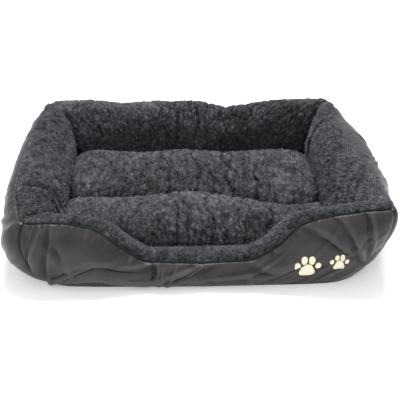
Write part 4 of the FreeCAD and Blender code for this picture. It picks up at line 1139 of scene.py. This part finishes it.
under_low, under_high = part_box("cushion_bottom_panel")
top_side = flat_grid(CUSHION_X - 0.001, CUSHION_Y - 0.004, under_high[2], 0.006, 12.0)
low_side = flat_grid(CUSHION_X - 0.001, CUSHION_Y - 0.004, under_low[2] + 0.0001, 0.006, 12.0)
wrinkle = np.sin(low_side[..., 0] * 60 + 3 * np.sin(low_side[..., 1] * 20)) * np.sin(low_side[..., 1] * 47)
low_side[..., 2] += 0.0002 * (1 + wrinkle)
piece = cloth_piece("cushion_lining_underside", top_side, low_side, lining_cloth)
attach(piece, "cushion")
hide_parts("cushion_bottom_panel")

# ------------------------------------------------------------------ the cushion's zip
# A nylon coil zip along the rear of the cushion's cover: two woven tapes, two interlocked coils, a
# metal stop at each end and a slider with no pull tab.

ZIP_LOW, ZIP_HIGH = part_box("zip_coil")
COIL_PITCH, COIL_TUBE, COIL_SIDES, COIL_STEPS = 0.0022, 0.00034, 5, 9


def nylon_material():
    """Extruded nylon monofilament: near black, smooth, with a soft shine."""
    material, nodes = new_material("nylon_monofilament")
    place = add_node(nodes, "ShaderNodeTexCoord")
    haze = add_node(nodes, "ShaderNodeTexNoise", Vector=place.outputs["Object"], Scale=120.0)
    rough = add_node(nodes, "ShaderNodeMapRange", Value=haze.outputs["Fac"], To_Min=0.28, To_Max=0.42)
    finish_material(nodes, Base_Color=srgb("#2b2c2f"), Roughness=rough.outputs["Result"], IOR=1.53)
    return material


def tape_material():
    """Woven polyester zip tape: fine slanting ribs of twill."""
    material, nodes = new_material("twill_woven_zip_tape")
    place = add_node(nodes, "ShaderNodeTexCoord")
    axes = add_node(nodes, "ShaderNodeSeparateXYZ", Vector=place.outputs["Object"])
    slant = add_node(nodes, "ShaderNodeMath", {"operation": "ADD"}, _0=axes.outputs["X"],
                     _1=axes.outputs["Z"])
    turn = add_node(nodes, "ShaderNodeMath", {"operation": "MULTIPLY"}, _0=slant.outputs[0],
                    _1=2 * math.pi / 0.0016)
    ribs = add_node(nodes, "ShaderNodeMath", {"operation": "SINE"}, _0=turn.outputs[0])
    lit = add_node(nodes, "ShaderNodeMapRange", Value=ribs.outputs[0], From_Min=-1.0)
    colour = add_node(nodes, "ShaderNodeValToRGB", Fac=lit.outputs["Result"])
    colour.color_ramp.elements[0].color = srgb("#222327")
    colour.color_ramp.elements[1].color = srgb("#3a3c41")
    bump = add_node(nodes, "ShaderNodeBump", Strength=0.5, Distance=0.0002, Height=ribs.outputs[0])
    finish_material(nodes, Base_Color=colour.outputs["Color"], Roughness=0.8,
                    Normal=bump.outputs["Normal"])
    return material


def zip_metal_material():
    """Die-cast zinc, painted dark: satin, with fine unevenness in the paint."""
    material, nodes = new_material("painted_die_cast_zinc")
    place = add_node(nodes, "ShaderNodeTexCoord")
    paint = add_node(nodes, "ShaderNodeTexNoise", Vector=place.outputs["Object"], Scale=700.0, Detail=2.0)
    rough = add_node(nodes, "ShaderNodeMapRange", Value=paint.outputs["Fac"], To_Min=0.3, To_Max=0.45)
    bump = add_node(nodes, "ShaderNodeBump", Strength=0.1, Distance=0.0001, Height=paint.outputs["Fac"])
    finish_material(nodes, Base_Color=srgb("#3d3e42"), Metallic=0.6, Roughness=rough.outputs["Result"],
                    Normal=bump.outputs["Normal"])
    return material


coil_middle = (ZIP_LOW + ZIP_HIGH) / 2
turns = int((ZIP_HIGH[0] - ZIP_LOW[0] - 0.002) / COIL_PITCH)
t = np.arange(turns * COIL_STEPS + 1) / COIL_STEPS * 2 * math.pi
coil_points, coil_quads, coil_caps = [], [], []
for side in (-1, 1):
    line = np.stack([ZIP_LOW[0] + 0.001 + COIL_PITCH * (t / (2 * math.pi)) + (side > 0) * COIL_PITCH / 2,
                     coil_middle[1] + 0.0003 * np.cos(t),
                     coil_middle[2] + side * (0.0008 + 0.00085 * np.sin(t))], axis=1)
    line = line[line[:, 0] < ZIP_HIGH[0] - 0.0005]
    way = np.gradient(line, axis=0)
    way /= np.linalg.norm(way, axis=1, keepdims=True)
    across = np.cross(way, np.array([1.0, 0.3, 0.1]))
    across /= np.linalg.norm(across, axis=1, keepdims=True)
    third = np.cross(way, across)
    around = np.linspace(0, 2 * math.pi, COIL_SIDES, endpoint=False)
    tube = (line[:, None] + COIL_TUBE * (np.cos(around)[None, :, None] * across[:, None]
                                         + np.sin(around)[None, :, None] * third[:, None]))
    first = sum(len(p) for p in coil_points)
    index = first + np.arange(len(line) * COIL_SIDES).reshape(-1, COIL_SIDES)
    coil_points.append(tube.reshape(-1, 3))
    coil_quads.append(band_quads(index))
    coil_caps += [index[:1], index[-1:, ::-1]]
mesh = skin("zip_coil_pair", np.vstack(coil_points), np.vstack(coil_quads), np.vstack(coil_caps))
coil = as_piece(mesh, nylon_material())
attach(coil, "cushion")
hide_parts("zip_coil")

zip_metal = zip_metal_material()
for name, material in (("zip_tapes", tape_material()), ("zip_stops", zip_metal), ("zip_slider", zip_metal)):
    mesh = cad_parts[name].data
    mesh.materials.clear()
    mesh.materials.append(material)
